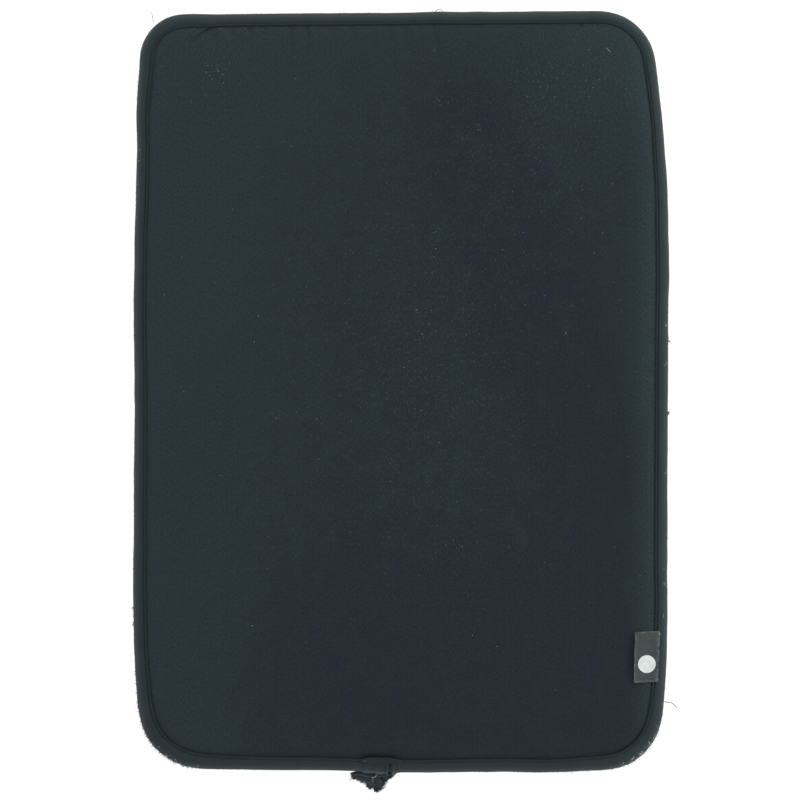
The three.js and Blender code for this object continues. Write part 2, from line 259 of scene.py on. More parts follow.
def whole_seam(step):
    return np.arange(0, SEAM_LENGTH - step / 2, step)


def swell(s, seed, wavelength, amount):
    """A soft random wave round the seam, the same at every call."""
    rng = np.random.default_rng(seed)
    waves = max(3, int(SEAM_LENGTH / wavelength))
    total = np.zeros_like(np.asarray(s, float))
    for k in range(max(1, waves // 2), waves + 1, max(1, waves // 12)):
        phase = rng.uniform(0, 2 * math.pi)
        total += rng.uniform(0.4, 1) * np.sin(2 * math.pi * k * s / SEAM_LENGTH + phase)
    return amount * total / 2.5


def fade(value, low, high):
    """0 up to low, 1 from high on, smooth between."""
    t = np.clip((value - low) / (high - low), 0, 1)
    return t * t * (3 - 2 * t)


FOLD_TOP = seam_place(FOLD_TOP_X, 1)
ZIP_END = seam_place(ZIP_END_X, -1)
PARKED = seam_place(PARKED_X, -1)
TRAVEL = JOINTS["slider_travel"]["range_m"][1] / MM


def from_parked(s):
    """Distances along the seam from where the slider is parked, against its travel."""
    return (s - PARKED + SEAM_LENGTH / 2) % SEAM_LENGTH - SEAM_LENGTH / 2


def zip_shift(s):
    """Keeps the zip on its straight line where the slider runs, whatever the worn seam does."""
    way = from_parked(s)
    runs = fade(way, -TRAVEL - 20, -TRAVEL - 12) * (1 - fade(way, 8, 16))
    return -runs * read_at(SEAM_MOVED, s)


# ---- mesh helpers ------------------------------------------------------------------------

def new_object(name, verts, faces, material, uvs=None, crease_angle=50):
    """A smooth-shaded object with a closed mesh; verts are in millimetres, and uvs are one pair
    for each face corner."""
    mesh = bpy.data.meshes.new(name)
    mesh.from_pydata((np.asarray(verts, float) * MM).tolist(), [], faces)
    mesh.validate()
    if uvs is not None:
        layer = mesh.uv_layers.new(name="cloth")
        layer.data.foreach_set("uv", np.asarray(uvs, np.float32).ravel())
    mesh.shade_smooth()
    mesh.set_sharp_from_angle(angle=math.radians(crease_angle))
    mesh.materials.append(material)
    face_outwards(mesh)
    obj = bpy.data.objects.new(name, mesh)
    bpy.context.scene.collection.objects.link(obj)
    return obj


def face_outwards(mesh):
    """Turns every face of a closed mesh to the outside."""
    shape = bmesh.new()
    shape.from_mesh(mesh)
    bmesh.ops.recalc_face_normals(shape, faces=shape.faces)
    shape.to_mesh(mesh)
    shape.free()


def angles(count):
    """Evenly spaced angles of one turn."""
    return 2 * math.pi * np.arange(count) / count


def ring_index(count, size):
    """The vertex numbers of a row of rings, each closed on its first."""
    index = np.arange(count * size).reshape(count, size)
    return np.hstack([index, index[:, :1]])


def grid_faces(index):
    """The quads of a grid of vertex numbers."""
    corners = (index[:-1, :-1], index[1:, :-1], index[1:, 1:], index[:-1, 1:])
    return np.stack(corners, axis=-1).reshape(-1, 4)


def on_seam(loops, s):
    """The points of a loop of [out, z] for each s."""
    points, out = seam_at(s)
    flat = points[:, None, :] + loops[:, :, :1] * out[:, None, :]
    return np.concatenate([flat, loops[:, :, 1:]], axis=2).reshape(-1, 3)


def swept(name, section, run, material, closed=False):
    """Sweeps section(s), a closed loop of [out, z] for each s, along a run of the seam."""
    loops = section(run)
    count, size = loops.shape[:2]
    verts = on_seam(loops, run)
    index = ring_index(count, size)
    if closed:
        index = np.vstack([index, index[:1]])
    faces = grid_faces(index)
    around = lengths_along(np.concatenate([loops[0], loops[0, :1]]))
    along = np.append(run, run[-1] + run[1] - run[0])[: len(index)]
    spread = np.stack(np.meshgrid(along, around, indexing="ij"), axis=-1).reshape(-1, 2)
    uvs = spread[grid_faces(np.arange(len(spread)).reshape(len(index), size + 1)).ravel()]
    faces = faces.tolist()
    if not closed:
        faces.append(list(range(size)))
        faces.append(list(range((count - 1) * size, count * size)))
        caps = np.zeros((2 * size, 2))
        uvs = np.vstack([uvs, caps])
    return new_object(name, verts, faces, material, uvs)


def tube(path, radii, sides):
    """(verts, faces) of a closed tube along a path of points, round at each."""
    path = np.asarray(path, float)
    ahead = unit(np.gradient(path, axis=0))
    along_no_path = np.array([0.31, 0.17, 0.93])
    side = unit(np.cross(ahead, along_no_path))
    up = np.cross(side, ahead)
    angle = angles(sides)
    ring = np.cos(angle)[None, :, None] * side[:, None] + np.sin(angle)[None, :, None] * up[:, None]
    verts = path[:, None] + np.asarray(radii, float)[:, None, None] * ring
    faces = grid_faces(ring_index(len(path), sides)).tolist()
    faces.append(list(range(sides))[::-1])
    faces.append(list(range((len(path) - 1) * sides, len(path) * sides)))
    return verts.reshape(-1, 3), faces


def strand(name, path, radius, sides, material):
    """One even tube."""
    verts, faces = tube(path, np.full(len(path), radius), sides)
    return new_object(name, verts, faces, material)


def scattered(name, base, places, axes, material):
    """One object made of copies of base = (verts, faces), each at a place with its own axes."""
    verts, faces = base
    moved = places[:, None, :] + np.einsum("vk,nkj->nvj", np.asarray(verts, float), axes)
    every = []
    for offset in range(0, len(places) * len(verts), len(verts)):
        every.extend([[int(i + offset) for i in face] for face in faces])
    return new_object(name, moved.reshape(-1, 3), every, material, crease_angle=60)


def closed_patch(name, upper, under, columns, rows, material):
    """A closed sheet between two grids of points, columns by rows, one above the other."""
    index = np.arange(columns * rows).reshape(columns, rows)
    faces = grid_faces(index)
    total = columns * rows
    rim = np.concatenate([index[:-1, 0], index[-1, :-1], index[:0:-1, -1], index[0, :0:-1]])
    wall = np.stack([rim, rim + total, np.roll(rim, -1) + total, np.roll(rim, -1)], axis=1)
    every = np.vstack([faces, faces[:, ::-1] + total, wall])
    verts = np.vstack([upper, under])
    return new_object(name, verts, every.tolist(), material, verts[every.ravel(), :2])


def closed_fan(name, upper, under, material):
    """A closed sheet between two sets of spokes, each from the rim inwards."""
    loops = np.concatenate([upper[:, ::-1], under], axis=1)
    count, size = loops.shape[:2]
    index = np.arange(count * size).reshape(count, size)
    every = grid_faces(np.vstack([index, index[:1]]))
    faces = every.tolist() + [index[:, 0].tolist(), index[:, -1].tolist()]
    corners = np.concatenate([every.ravel(), index[:, 0], index[:, -1]])
    verts = loops.reshape(-1, 3)
    return new_object(name, verts, faces, material, verts[corners, :2])


def seam_axes(s):
    """For each s, the rows (along the seam, outwards, up)."""
    out = unit(seam_at(s)[1])
    zero = np.zeros(len(out))
    along = np.stack([-out[:, 1], out[:, 0], zero], axis=1)
    outwards = np.stack([out[:, 0], out[:, 1], zero], axis=1)
    up = np.tile([0.0, 0.0, 1.0], (len(out), 1))
    return np.stack([along, outwards, up], axis=1)


def seam_points(s, out, z):
    """The point of each s that stands out from the seam by out, at height z."""
    points, normal = seam_at(s)
    flat = points + np.asarray(out, float).reshape(-1, 1) * normal
    return np.column_stack([flat, np.broadcast_to(z, len(flat))])


# ---- materials ---------------------------------------------------------------------------

def linear(red, green, blue):
    """A colour given as 0 to 255 display values, as linear light."""
    return tuple(((c / 255 + 0.055) / 1.055) ** 2.4 for c in (red, green, blue)) + (1.0,)


def dimmed(colour, share):
    """A colour with only this share of its light."""
    return tuple(share * c for c in colour[:3]) + (1.0,)


class Shader:
    """Builds a node material in few words. Values may be numbers or other nodes' sockets."""

    def __init__(self, name, **settings):
        self.material = bpy.data.materials.new(name)
        self.material.use_nodes = True
        self.tree = self.material.node_tree
        self.surface = self.tree.nodes["Principled BSDF"]
        for key, value in settings.items():
            self.surface.inputs[key.replace("_", " ")].default_value = value

    def put(self, socket, value):
        """Links a socket, or sets a plain value."""
        if isinstance(value, bpy.types.NodeSocket):
            self.tree.links.new(value, socket)
        else:
            socket.default_value = value

    def node(self, kind, output=0, attributes=None, **inputs):
        """One output of a new node; an underscore in an input's name stands for a space."""
        made = self.tree.nodes.new("ShaderNode" + kind)
        for key, value in (attributes or {}).items():
            setattr(made, key, value)
        for key, value in inputs.items():
            self.put(made.inputs[key.replace("_", " ")], value)
        return made.outputs[output]

    def math(self, operation, *values):
        made = self.tree.nodes.new("ShaderNodeMath")
        made.operation = operation
        for socket, value in zip(made.inputs, values):
            self.put(socket, value)
        return made.outputs[0]

    def times(self, first, second):
        return self.math("MULTIPLY", first, second)

    def cloth(self):
        """(along, across) of the cloth, in millimetres."""
        source = self.node("UVMap", attributes={"uv_map": "cloth"})
        made = self.tree.nodes.new("ShaderNodeSeparateXYZ")
        self.put(made.inputs[0], source)
        return made.outputs[0], made.outputs[1]

    def place(self):
        """The point of the object, in metres."""
        return self.tree.nodes.new("ShaderNodeTexCoord").outputs["Object"]

    def noise(self, scale, detail=3.0, roughness=0.55, vector=None):
        vector = vector or self.place()
        return self.node("TexNoise", Vector=vector, Scale=scale, Detail=detail, Roughness=roughness)

    def cloth_noise(self, scale, roughness, squeeze):
        """Noise that changes less across the cloth than along it; scale is per millimetre."""
        along, across = self.cloth()
        made = self.tree.nodes.new("ShaderNodeCombineXYZ")
        self.put(made.inputs[0], along)
        self.put(made.inputs[1], self.times(across, squeeze))
        return self.noise(scale, 3.0, roughness, made.outputs[0])

    def stored(self, name):
        """A value kept at each point of the mesh."""
        return self.node("Attribute", output=2, attributes={"attribute_name": name})

    def ramp(self, value, low, high, to_low=0.0, to_high=1.0):
        """The stretch from low to high of a value, mapped to another and held there."""
        inputs = {"Value": value, "From_Min": low, "From_Max": high}
        return self.node("MapRange", **inputs, To_Min=to_low, To_Max=to_high)

    def mix(self, share, first, second):
        made = self.tree.nodes.new("ShaderNodeMix")
        made.data_type = "RGBA"
        self.put(made.inputs[0], share)
        self.put(made.inputs[6], first)
        self.put(made.inputs[7], second)
        return made.outputs[2]

    def between(self, value, low, high, first, second, to_low=0.0, to_high=1.0):
        """The first colour where value is low, the second where it is high; the last two are the
        second colour's shares there."""
        return self.mix(self.ramp(value, low, high, to_low, to_high), first, second)

    def bump(self, height, distance, strength=1.0, under=None):
        made = self.tree.nodes.new("ShaderNodeBump")
        made.inputs["Strength"].default_value = strength
        made.inputs["Distance"].default_value = distance
        self.put(made.inputs["Height"], height)
        if under is not None:
            self.put(made.inputs["Normal"], under)
        return made.outputs[0]

    def wear(self, **sockets):
        """Links the surface's sockets, and returns the material."""
        for key, value in sockets.items():
            self.put(self.surface.inputs[key.replace("_", " ")], value)
        return self.material


# The faint gloss of worn cloth.
DULL = {"Specular_IOR_Level": 0.06}


def wave(shader, value, pitch):
    """0 to 1 to 0 once in every pitch of value."""
    turned = shader.times(value, 2 * math.pi / pitch)
    return shader.math("MULTIPLY_ADD", shader.math("SINE", turned), 0.5, 0.5)


def knit_height(shader, along, across):
    """Columns of stockinette V's; a column is a wale wide and a V a course high."""
    wale, course = 0.62, 0.48
    column = shader.math("FRACT", shader.math("DIVIDE", along, wale))
    slant = shader.math("ABSOLUTE", shader.math("SUBTRACT", column, 0.5))
    lean = shader.math("MULTIPLY_ADD", slant, 1.1 * course, across)
    loops = wave(shader, lean, course)
    ridge = shader.math("POWER", wave(shader, along, wale), 0.5)
    return shader.times(ridge, shader.math("MULTIPLY_ADD", loops, 0.6, 0.4))


def weave_height(shader, along, across, pitch):
    """High where either thread lies over the other."""
    over = wave(shader, along, pitch)
    under = wave(shader, across, pitch)
    crossed = shader.times(over, under)
    both = shader.math("ADD", over, under)
    return shader.math("SUBTRACT", both, shader.times(crossed, 2.0))


def fibre_noise(shader, scale=5200.0):
    return shader.noise(scale, 2.0, 0.7)


def panel_knit():
    """Fine jersey over neoprene: charcoal with a blue-green cast, mottled, paler at the seams; its
    stored wear values also carry painted light and shade, and the knit's hollows get painted shade.
    """
    shader = Shader("panel_knit", Roughness=0.92, **DULL, Sheen_Weight=0.05, Sheen_Roughness=0.5)
    along, across = shader.cloth()
    patches = shader.noise(115.0, 4.0, 0.62)
    clouds = shader.noise(9.0, 2.0, 0.5)
    cast = shader.between(patches, 0.4, 0.6, linear(32, 39, 52), linear(34, 46, 49))
    # The stored wear values mix wear with painted light and shade.
    wear_and_painted_light = shader.times(shader.stored("wear"), shader.ramp(clouds, 0.3, 0.7, 0.7, 1.0))
    colour = shader.mix(wear_and_painted_light, cast, linear(60, 77, 79))
    grain = shader.cloth_noise(1.5, 0.75, 0.5)
    heather = shader.between(grain, 0.35, 0.65, colour, linear(18, 23, 27), 0.75, 0.0)
    fibres = fibre_noise(shader)
    fuzzy = shader.between(fibres, 0.3, 0.75, heather, linear(54, 64, 68), 0.0, 0.5)
    knit = knit_height(shader, along, across)
    # Painted shade: darker in the hollows of the knit.
    painted_shade_colour = shader.between(knit, 0.0, 0.8, fuzzy, linear(19, 26, 28), 0.42, 0.0)
    flecks = shader.ramp(shader.cloth_noise(1.6, 0.8, 0.4), 0.6, 0.71)
    caught = shader.times(flecks, shader.ramp(shader.stored("dust"), 0.0, 1.0, 0.14, 0.85))
    dusty = shader.mix(caught, painted_shade_colour, linear(92, 104, 108))
    soft = shader.bump(fibres, 0.00012, 0.35)
    return shader.wear(Base_Color=dusty, Normal=shader.bump(knit, 0.00022, 0.55, soft))


def band_knit(name, light):
    """The same knit stretched round the edge, ribbed across with painted shade in the ribs' hollows,
    paler brown-grey on the outside, partly from rubbed wear and partly a painted sheen; light is the
    share of its base colours kept, lower for a copy painted in shade.
    """
    shader = Shader(name, Roughness=0.95, **DULL, Sheen_Weight=0.1, Sheen_Roughness=0.55)
    along, across = shader.cloth()
    lean = shader.math("MULTIPLY_ADD", across, 0.75, along)
    rib = wave(shader, shader.math("ADD", lean, shader.noise(160.0, 2.0)), 0.95)
    fibres = fibre_noise(shader, 4200.0)
    patches = shader.noise(90.0, 4.0, 0.6)
    # The stored values are partly rubbed wear, partly a painted sheen at the rim.
    rubbed = shader.times(shader.stored("wear"), shader.ramp(patches, 0.3, 0.62, 0.55, 1.0))
    blue, green = (dimmed(colour, light) for colour in (linear(30, 42, 46), linear(33, 47, 49)))
    cast = shader.between(patches, 0.35, 0.65, blue, green)
    colour = shader.mix(rubbed, cast, linear(92, 90, 96))
    fuzzy = shader.between(fibres, 0.35, 0.8, colour, linear(68, 77, 77), 0.0, 0.45)
    # Painted shade: darker in the hollows between the ribs.
    painted_shade_colour = shader.between(rib, 0.0, 0.7, fuzzy, linear(23, 30, 31), 0.4, 0.0)
    soft = shader.bump(fibres, 0.0002, 0.5)
    return shader.wear(Base_Color=painted_shade_colour, Normal=shader.bump(rib, 0.0002, 0.6, soft))


def woven(name, colour, light, pitch):
    """A plain woven tape or cord cover, with painted light on the raised threads and painted shade
    between them; pitch is its threads' spacing in millimetres.
    """
    shader = Shader(name, Roughness=0.85, Specular_IOR_Level=0.08, Sheen_Weight=0.06)
    along, across = shader.cloth()
    lean = shader.math("ADD", along, across)
    cross = shader.math("SUBTRACT", along, across)
    threads = weave_height(shader, lean, cross, pitch)
    fibres = fibre_noise(shader)
    # Painted light and shade: paler where threads stand high, darker between them.
    painted_thread_light = shader.times(threads, shader.ramp(fibres, 0.3, 0.7, 0.5, 1.0))
    painted_shade_colour = shader.mix(painted_thread_light, colour, light)
    soft = shader.bump(fibres, 0.0001, 0.4)
    return shader.wear(Base_Color=painted_shade_colour, Normal=shader.bump(threads, 0.0001, 0.7, soft))


def plush():
    """Short-pile faux fur, with painted shade down between the pile."""
    shader = Shader(
        "plush", Roughness=1.0, Specular_IOR_Level=0.05, Sheen_Weight=0.3, Sheen_Roughness=0.4,
    )
    pile = shader.noise(2600.0, 3.0, 0.7)
    strokes = shader.noise(45.0, 4.0, 0.65)
    colour = shader.between(strokes, 0.35, 0.65, linear(44, 46, 50), linear(62, 64, 68))
    # Painted shade: darker where the pile is low.
    painted_shade_colour = shader.between(pile, 0.3, 0.75, linear(26, 27, 30), colour)
    brushed = shader.bump(strokes, 0.0008, 0.4)
    return shader.wear(Base_Color=painted_shade_colour, Normal=shader.bump(pile, 0.0006, 0.8, brushed))


def gunmetal():
    """Dark plated metal, tarnished in patches and finely scratched."""
    shader = Shader("gunmetal", Metallic=1.0)
    scratches = shader.noise(2200.0, 2.0, 0.6)
    tarnish = shader.noise(420.0, 4.0, 0.6)
    colour = shader.between(tarnish, 0.35, 0.65, linear(92, 93, 95), linear(132, 132, 130))
    rough = shader.ramp(scratches, 0.3, 0.7, 0.28, 0.46)
    bumps = shader.bump(scratches, 0.00003, 0.3)
    return shader.wear(Base_Color=colour, Roughness=rough, Normal=bumps)


def nylon():
    """The coil's dark plastic, a little dusty."""
    shader = Shader("nylon_coil", Specular_IOR_Level=0.5)
    dust = shader.noise(900.0, 3.0, 0.6)
    colour = shader.between(dust, 0.5, 0.75, linear(24, 26, 28), linear(58, 60, 62))
    return shader.wear(Base_Color=colour, Roughness=shader.ramp(dust, 0.3, 0.7, 0.32, 0.55))


def satin():
    """A woven label: fine weft lines with painted shade in the hollows between the threads, paler
    worn selvedges.
    """
    shader = Shader("label_satin", Roughness=0.55, Specular_IOR_Level=0.15, Sheen_Weight=0.1)
    along, across = shader.cloth()
    weft = wave(shader, across, 0.21)
    warp = wave(shader, along, 0.16)
    fibres = fibre_noise(shader, 3600.0)
    rubbed = shader.ramp(shader.noise(420.0, 3.0, 0.6), 0.42, 0.6)
    speck = shader.times(shader.stored("wear"), shader.ramp(fibres, 0.3, 0.62, 0.4, 1.0))
    speck = shader.times(speck, rubbed)
    # Painted shade: darker between the weft threads.
    base = shader.mix(shader.times(weft, 0.6), linear(46, 51, 52), linear(66, 72, 73))
    pilling = shader.noise(1500.0, 3.0, 0.75)
    ground = shader.between(pilling, 0.45, 0.75, base, linear(92, 99, 99), 0.0, 0.5)
    colour = shader.mix(speck, ground, linear(98, 106, 105))
    threads = shader.math("MULTIPLY_ADD", warp, 0.4, weft)
    return shader.wear(Base_Color=colour, Normal=shader.bump(threads, 0.00006, 0.6))


def pale_thread():
    """The off-white weave of the label's disc."""
    shader = Shader("pale_thread", Roughness=0.5, Specular_IOR_Level=0.3)
    along, across = shader.cloth()
    weft = wave(shader, across, 0.21)
    soil = shader.noise(700.0, 3.0)
    ground = shader.between(soil, 0.35, 0.7, linear(216, 220, 218), linear(190, 196, 195))
    colour = shader.mix(shader.times(weft, 0.35), ground, linear(172, 180, 180))
    return shader.wear(Base_Color=colour, Normal=shader.bump(weft, 0.00005, 0.5))


def frayed():
    """Coarse worn textile, its cut edge opened into loose yarn; painted light on the raised threads
    and painted shade between them.
    """
    shader = Shader("frayed_textile", Roughness=0.95, **DULL, Sheen_Weight=0.1)
    along, across = shader.cloth()
    wobble = shader.ramp(shader.noise(300.0, 3.0), 0.0, 1.0, -0.35, 0.35)
    warp, weft = (shader.math("ADD", way, wobble) for way in (along, across))
    threads = weave_height(shader, warp, weft, 0.75)
    fibres = fibre_noise(shader, 3200.0)
    # Painted light and shade: paler where threads lie over, darker in the gaps.
    base = shader.mix(threads, linear(26, 33, 36), linear(56, 66, 71))
    painted_shade_colour = shader.between(fibres, 0.4, 0.8, base, linear(92, 101, 105), 0.0, 0.6)
    soft = shader.bump(fibres, 0.0003, 0.6)
    return shader.wear(Base_Color=painted_shade_colour, Normal=shader.bump(threads, 0.0003, 0.8, soft))


def fibre(name, colour, light, scale=300.0):
    """Loose fibres of two shades."""
    shader = Shader(name, Roughness=0.8, Specular_IOR_Level=0.2)
    shift = shader.noise(scale, 2.0)
    return shader.wear(Base_Color=shader.between(shift, 0.35, 0.65, colour, light))


KNIT = panel_knit()
BAND = band_knit("band_knit", 1.0)
# The garage patch's knit: the band's knit painted darker, as painted shade.
SHADED_GARAGE_KNIT = band_knit("garage_knit_painted_shade", 0.65)
PIPING = woven("piping_cover", linear(27, 35, 37), linear(48, 58, 60), 0.5)
BINDING = woven("binding_tape", linear(20, 22, 24), linear(44, 46, 48), 0.55)
ZIP_TAPE = woven("zip_tape", linear(16, 18, 19), linear(40, 43, 44), 0.6)
PLUSH = plush()
METAL = gunmetal()
NYLON = nylon()
SATIN = satin()
PALE = pale_thread()
FRAYED = frayed()
LINT = fibre("lint", linear(120, 132, 134), linear(205, 210, 206))
FUZZ = fibre("fuzz", linear(46, 52, 56), linear(96, 98, 102))
STITCH = fibre("stitch_thread", linear(34, 40, 42), linear(64, 72, 74), 900.0)


# ---- sections of the band, as [out, z] in millimetres ------------------------------------

# The roll's half height, and how far it stands out from the seam where it meets the piping.
ROLL_HALF = BAND_HALF + 1.4
ROLL_INNER = 0.8
# A strip's hem is turned in by this much, fading away over this height.
HEM_TUCK = 1.1
HEM_REACH = 0.6
# The foam's inner face keeps clear of the seam, and is lower than the roll by a round edge.
LEAST_OUT = 0.1
EDGE_ROUND = 0.25


def roll_out(z):
    """How far the padded band stands out from the seam at a height."""
    t = np.clip(np.abs(np.asarray(z, float) - MIDDLE) / ROLL_HALF, 0, 1)
    return ROLL_INNER + (BULGE - ROLL_INNER) * np.sqrt(1 - t**3.0)


def band_swell(s):
    """Unevenness of the worn band, none where the slider works."""
    away = np.clip(np.abs(from_parked(s)) / 60, 0, 1)
    return away * (swell(s, 3, 45, 0.16) + swell(s, 5, 14, 0.06)) + read_at(SEAM_FULLER, s)


def groove_depth(s):
    """How far the band dips at the piping: most at the sides, least at corners and bottom."""
    across, up = seam_at(s)[1].T
    upper = np.clip(up, 0, 1) ** 6
    lower = np.clip(-up, 0, 1) ** 6
    return 0.1 + 0.85 * across**6 + 0.5 * upper + 0.2 * lower


def band_outline(low, high, steps, hem_low=False, hem_high=False):
    """The cut through a stretch of band from one height to another, as a closed loop."""
    turn = np.linspace(-1, 1, steps)
    bend = np.sin(turn * math.pi / 2)
    z = (low + high) / 2 + (high - low) / 2 * bend
    outer = np.stack([roll_out(z), z], axis=1)
    for hemmed, from_edge in ((hem_low, z - low), (hem_high, high - z)):
        if hemmed:
            outer[:, 0] -= HEM_TUCK * np.exp(-from_edge / HEM_REACH)
    inner = np.stack([np.maximum(roll_out(z) - FOAM, LEAST_OUT), z], axis=1)[::-1]
    inner[:, 1] = np.clip(inner[:, 1], low + EDGE_ROUND, high - EDGE_ROUND)
    inner_half = ROLL_HALF - 1.2
    inner[:, 1] = MIDDLE + np.clip(inner[:, 1] - MIDDLE, -inner_half, inner_half)
    return np.vstack([outer, inner])


def band_section(low, high, steps, hem_low=False, hem_high=False):
    """That cut for each place on the seam, swollen unevenly and dipping at the piping."""
    loop = band_outline(low, high, steps, hem_low, hem_high)
    share = np.clip(loop[:, 0] / BULGE, 0, 1)
    tuck = np.sign(loop[:, 1] - MIDDLE) * np.exp(-(loop[:, 0] - ROLL_INNER) / 0.45)
    tuck[steps:] = 0

    def section(s):
        loops = np.repeat(loop[None], len(s), axis=0)
        loops[:, :, 0] += band_swell(s)[:, None] * share
        loops[:, :, 1] -= groove_depth(s)[:, None] * tuck
        return loops

    return section


def round_section(out, z, radius, sides, seed, uneven=0.04):
    """A round cord, a little uneven along its length."""
    angle = angles(sides)

    def section(s):
        thick = radius * (1 + swell(s, seed, 11, uneven))
        across = out + thick[:, None] * np.cos(angle)
        height = z + thick[:, None] * np.sin(angle)
        return np.stack([across, height], axis=2)

    return section


def even_section(points, shift=np.zeros_like):
    """A section that stays the same all along; shift(s) is how far out it moves."""
    loop = np.asarray(points, float)

    def section(s):
        loops = np.repeat(loop[None], len(s), axis=0)
        loops[:, :, 0] += shift(s)[:, None]
        return loops

    return section


def store(obj, name, value):
    """Keeps a number from 0 to 1 at each point, for the material to read."""
    layer = obj.data.attributes.new(name, "FLOAT", "POINT")
    layer.data.foreach_set("value", np.asarray(value, np.float32))


def points_of(obj):
    """The points of an object's mesh, in millimetres."""
    co = np.zeros(len(obj.data.vertices) * 3)
    obj.data.vertices.foreach_get("co", co)
    return co.reshape(-1, 3) / MM


# ---- the fold ----------------------------------------------------------------------------

def fold_ends():
    """Where the fabric starts to follow the flap, and where it has turned with it all the way."""
    fold = JOINTS["flap_fold"]
    centre = Vector(fold["pos_m"])
    left = Vector((-fold["axis"][1], fold["axis"][0], 0)).normalized()
    return centre - left * 0.003, centre + left * 0.026


FOLD_START, FOLD_END = fold_ends()


def take_place(nodes):
    """Hides the nodes of the frame that a piece replaces, if it has any."""
    if nodes:
        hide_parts(*nodes)


def fold_with_flap(obj, slot, *nodes):
    take_place(nodes)
    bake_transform(obj)


def keep_on(obj, body, slot, *nodes):
    take_place(nodes)
    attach(obj, body)


# ---- panels ------------------------------------------------------------------------------

def tightened(count):
    """Positions from 0 to 1 that crowd towards the ends."""
    pull = 0.4
    t = np.linspace(-1, 1, count)
    return (t * (1 + pull) - pull * t**3 + 1) / 2


def seam_corners():
    """Distances along the seam of the four rounded corners' middles."""
    found = []
    for x, y in ((-1, -1), (1, -1), (1, 1), (-1, 1)):
        facing = (SEAM_OUT @ np.array([x, y])) / math.sqrt(2)
        found.append(float(np.argmax(facing)) * SEAM_STEP)
    return found


def panel_grid(columns, rows, inset=-0.15):
    """A grid of points filling the outline up to an inset from the seam, closer together there."""
    bottom_left, bottom_right, top_right, top_left = seam_corners()
    u = tightened(columns)
    v = tightened(rows)

    def side(start, end, share):
        length = (end - start) % SEAM_LENGTH
        points, out = seam_at(start + share * length)
        return points - inset * out

    bottom = side(bottom_left, bottom_right, u)
    right = side(bottom_right, top_right, v)
    top = side(top_right, top_left, 1 - u)
    left = side(top_left, bottom_left, 1 - v)
    uu, vv = u[:, None, None], v[None, :, None]
    sides = (1 - vv) * bottom[:, None] + vv * top[:, None] + (1 - uu) * left[None] + uu * right[None]
    below = (1 - uu) * (1 - vv) * bottom[0] + uu * (1 - vv) * bottom[-1]
    above = (1 - uu) * vv * top[0] + uu * vv * top[-1]
    return sides - (below + above)


def nearest_on_seam(points):
    """For each (x, y), the seam point nearest to it, of every other one, and the way from there."""
    near = np.empty(len(points), int)
    at_once = 4000
    for start in range(0, len(points), at_once):
        part = points[start : start + at_once]
        far = np.linalg.norm(part[:, None] - SEAM[None, ::2], axis=2)
        near[start : start + at_once] = 2 * far.argmin(axis=1)
    return near, points - SEAM[near]


def inward(points):
    """For each (x, y), how far it is inside the seam, and where along the seam it is nearest."""
    near, way = nearest_on_seam(points)
    return np.linalg.norm(way, axis=1), near * SEAM_STEP


def along_line(points, start, end):
    """(distance from a line, share along it from 0 to 1 and beyond)."""
    start, end = np.array(start, float), np.array(end, float)
    way = end - start
    share = ((points - start) @ way) / (way @ way)
    off = points - start - np.clip(share, 0, 1)[:, None] * way
    return np.linalg.norm(off, axis=1), share


# Creases of the front panel: from, to, depth (down is positive), half width.
CREASES = (
    ((15.3, 187), (21, 165), 1.0, 1.5),
    ((-1.3, 116), (4.5, 87), 0.3, 1.8),
    ((10, 81), (6, 43), 0.3, 2.0),
    ((-94.5, 185.0), (-106.5, 177.0), 1.9, 0.9),
    ((-94.0, 183.4), (-86.5, 183.0), -0.5, 1.2),
    ((-84, 186.5), (-85.5, 181.5), 0.9, 0.9),
    ((-76, 186.8), (-77, 181), 0.9, 0.9),
    ((88.5, 187.2), (94, 183.6), 1.5, 0.8),
    ((96, 187.8), (101.5, 184.2), 1.7, 0.8),
    ((92, 184.2), (95.5, 182.4), -0.5, 1.0),
)


def gathers(x, y, place, inside):
    """Puckers where the knit is sewn to the band, strong along the top's left half."""
    strong = 1 / (1 + np.exp(-(x + 100) / 4)) / (1 + np.exp((x - 14) / 3)) * (y > 0)
    near = np.exp(-((inside / 9.0) ** 1.5)) * np.clip(inside / 1.0, 0, 1)
    lines = swell(place, 11, 6.5, 0.6) + swell(place, 17, 4.2, 0.4)
    short = swell(place, 23, 7.0, 0.4) * np.exp(-inside / 3.0) * np.clip(inside, 0, 1)
    return 0.8 * strong * near * lines + 0.25 * short


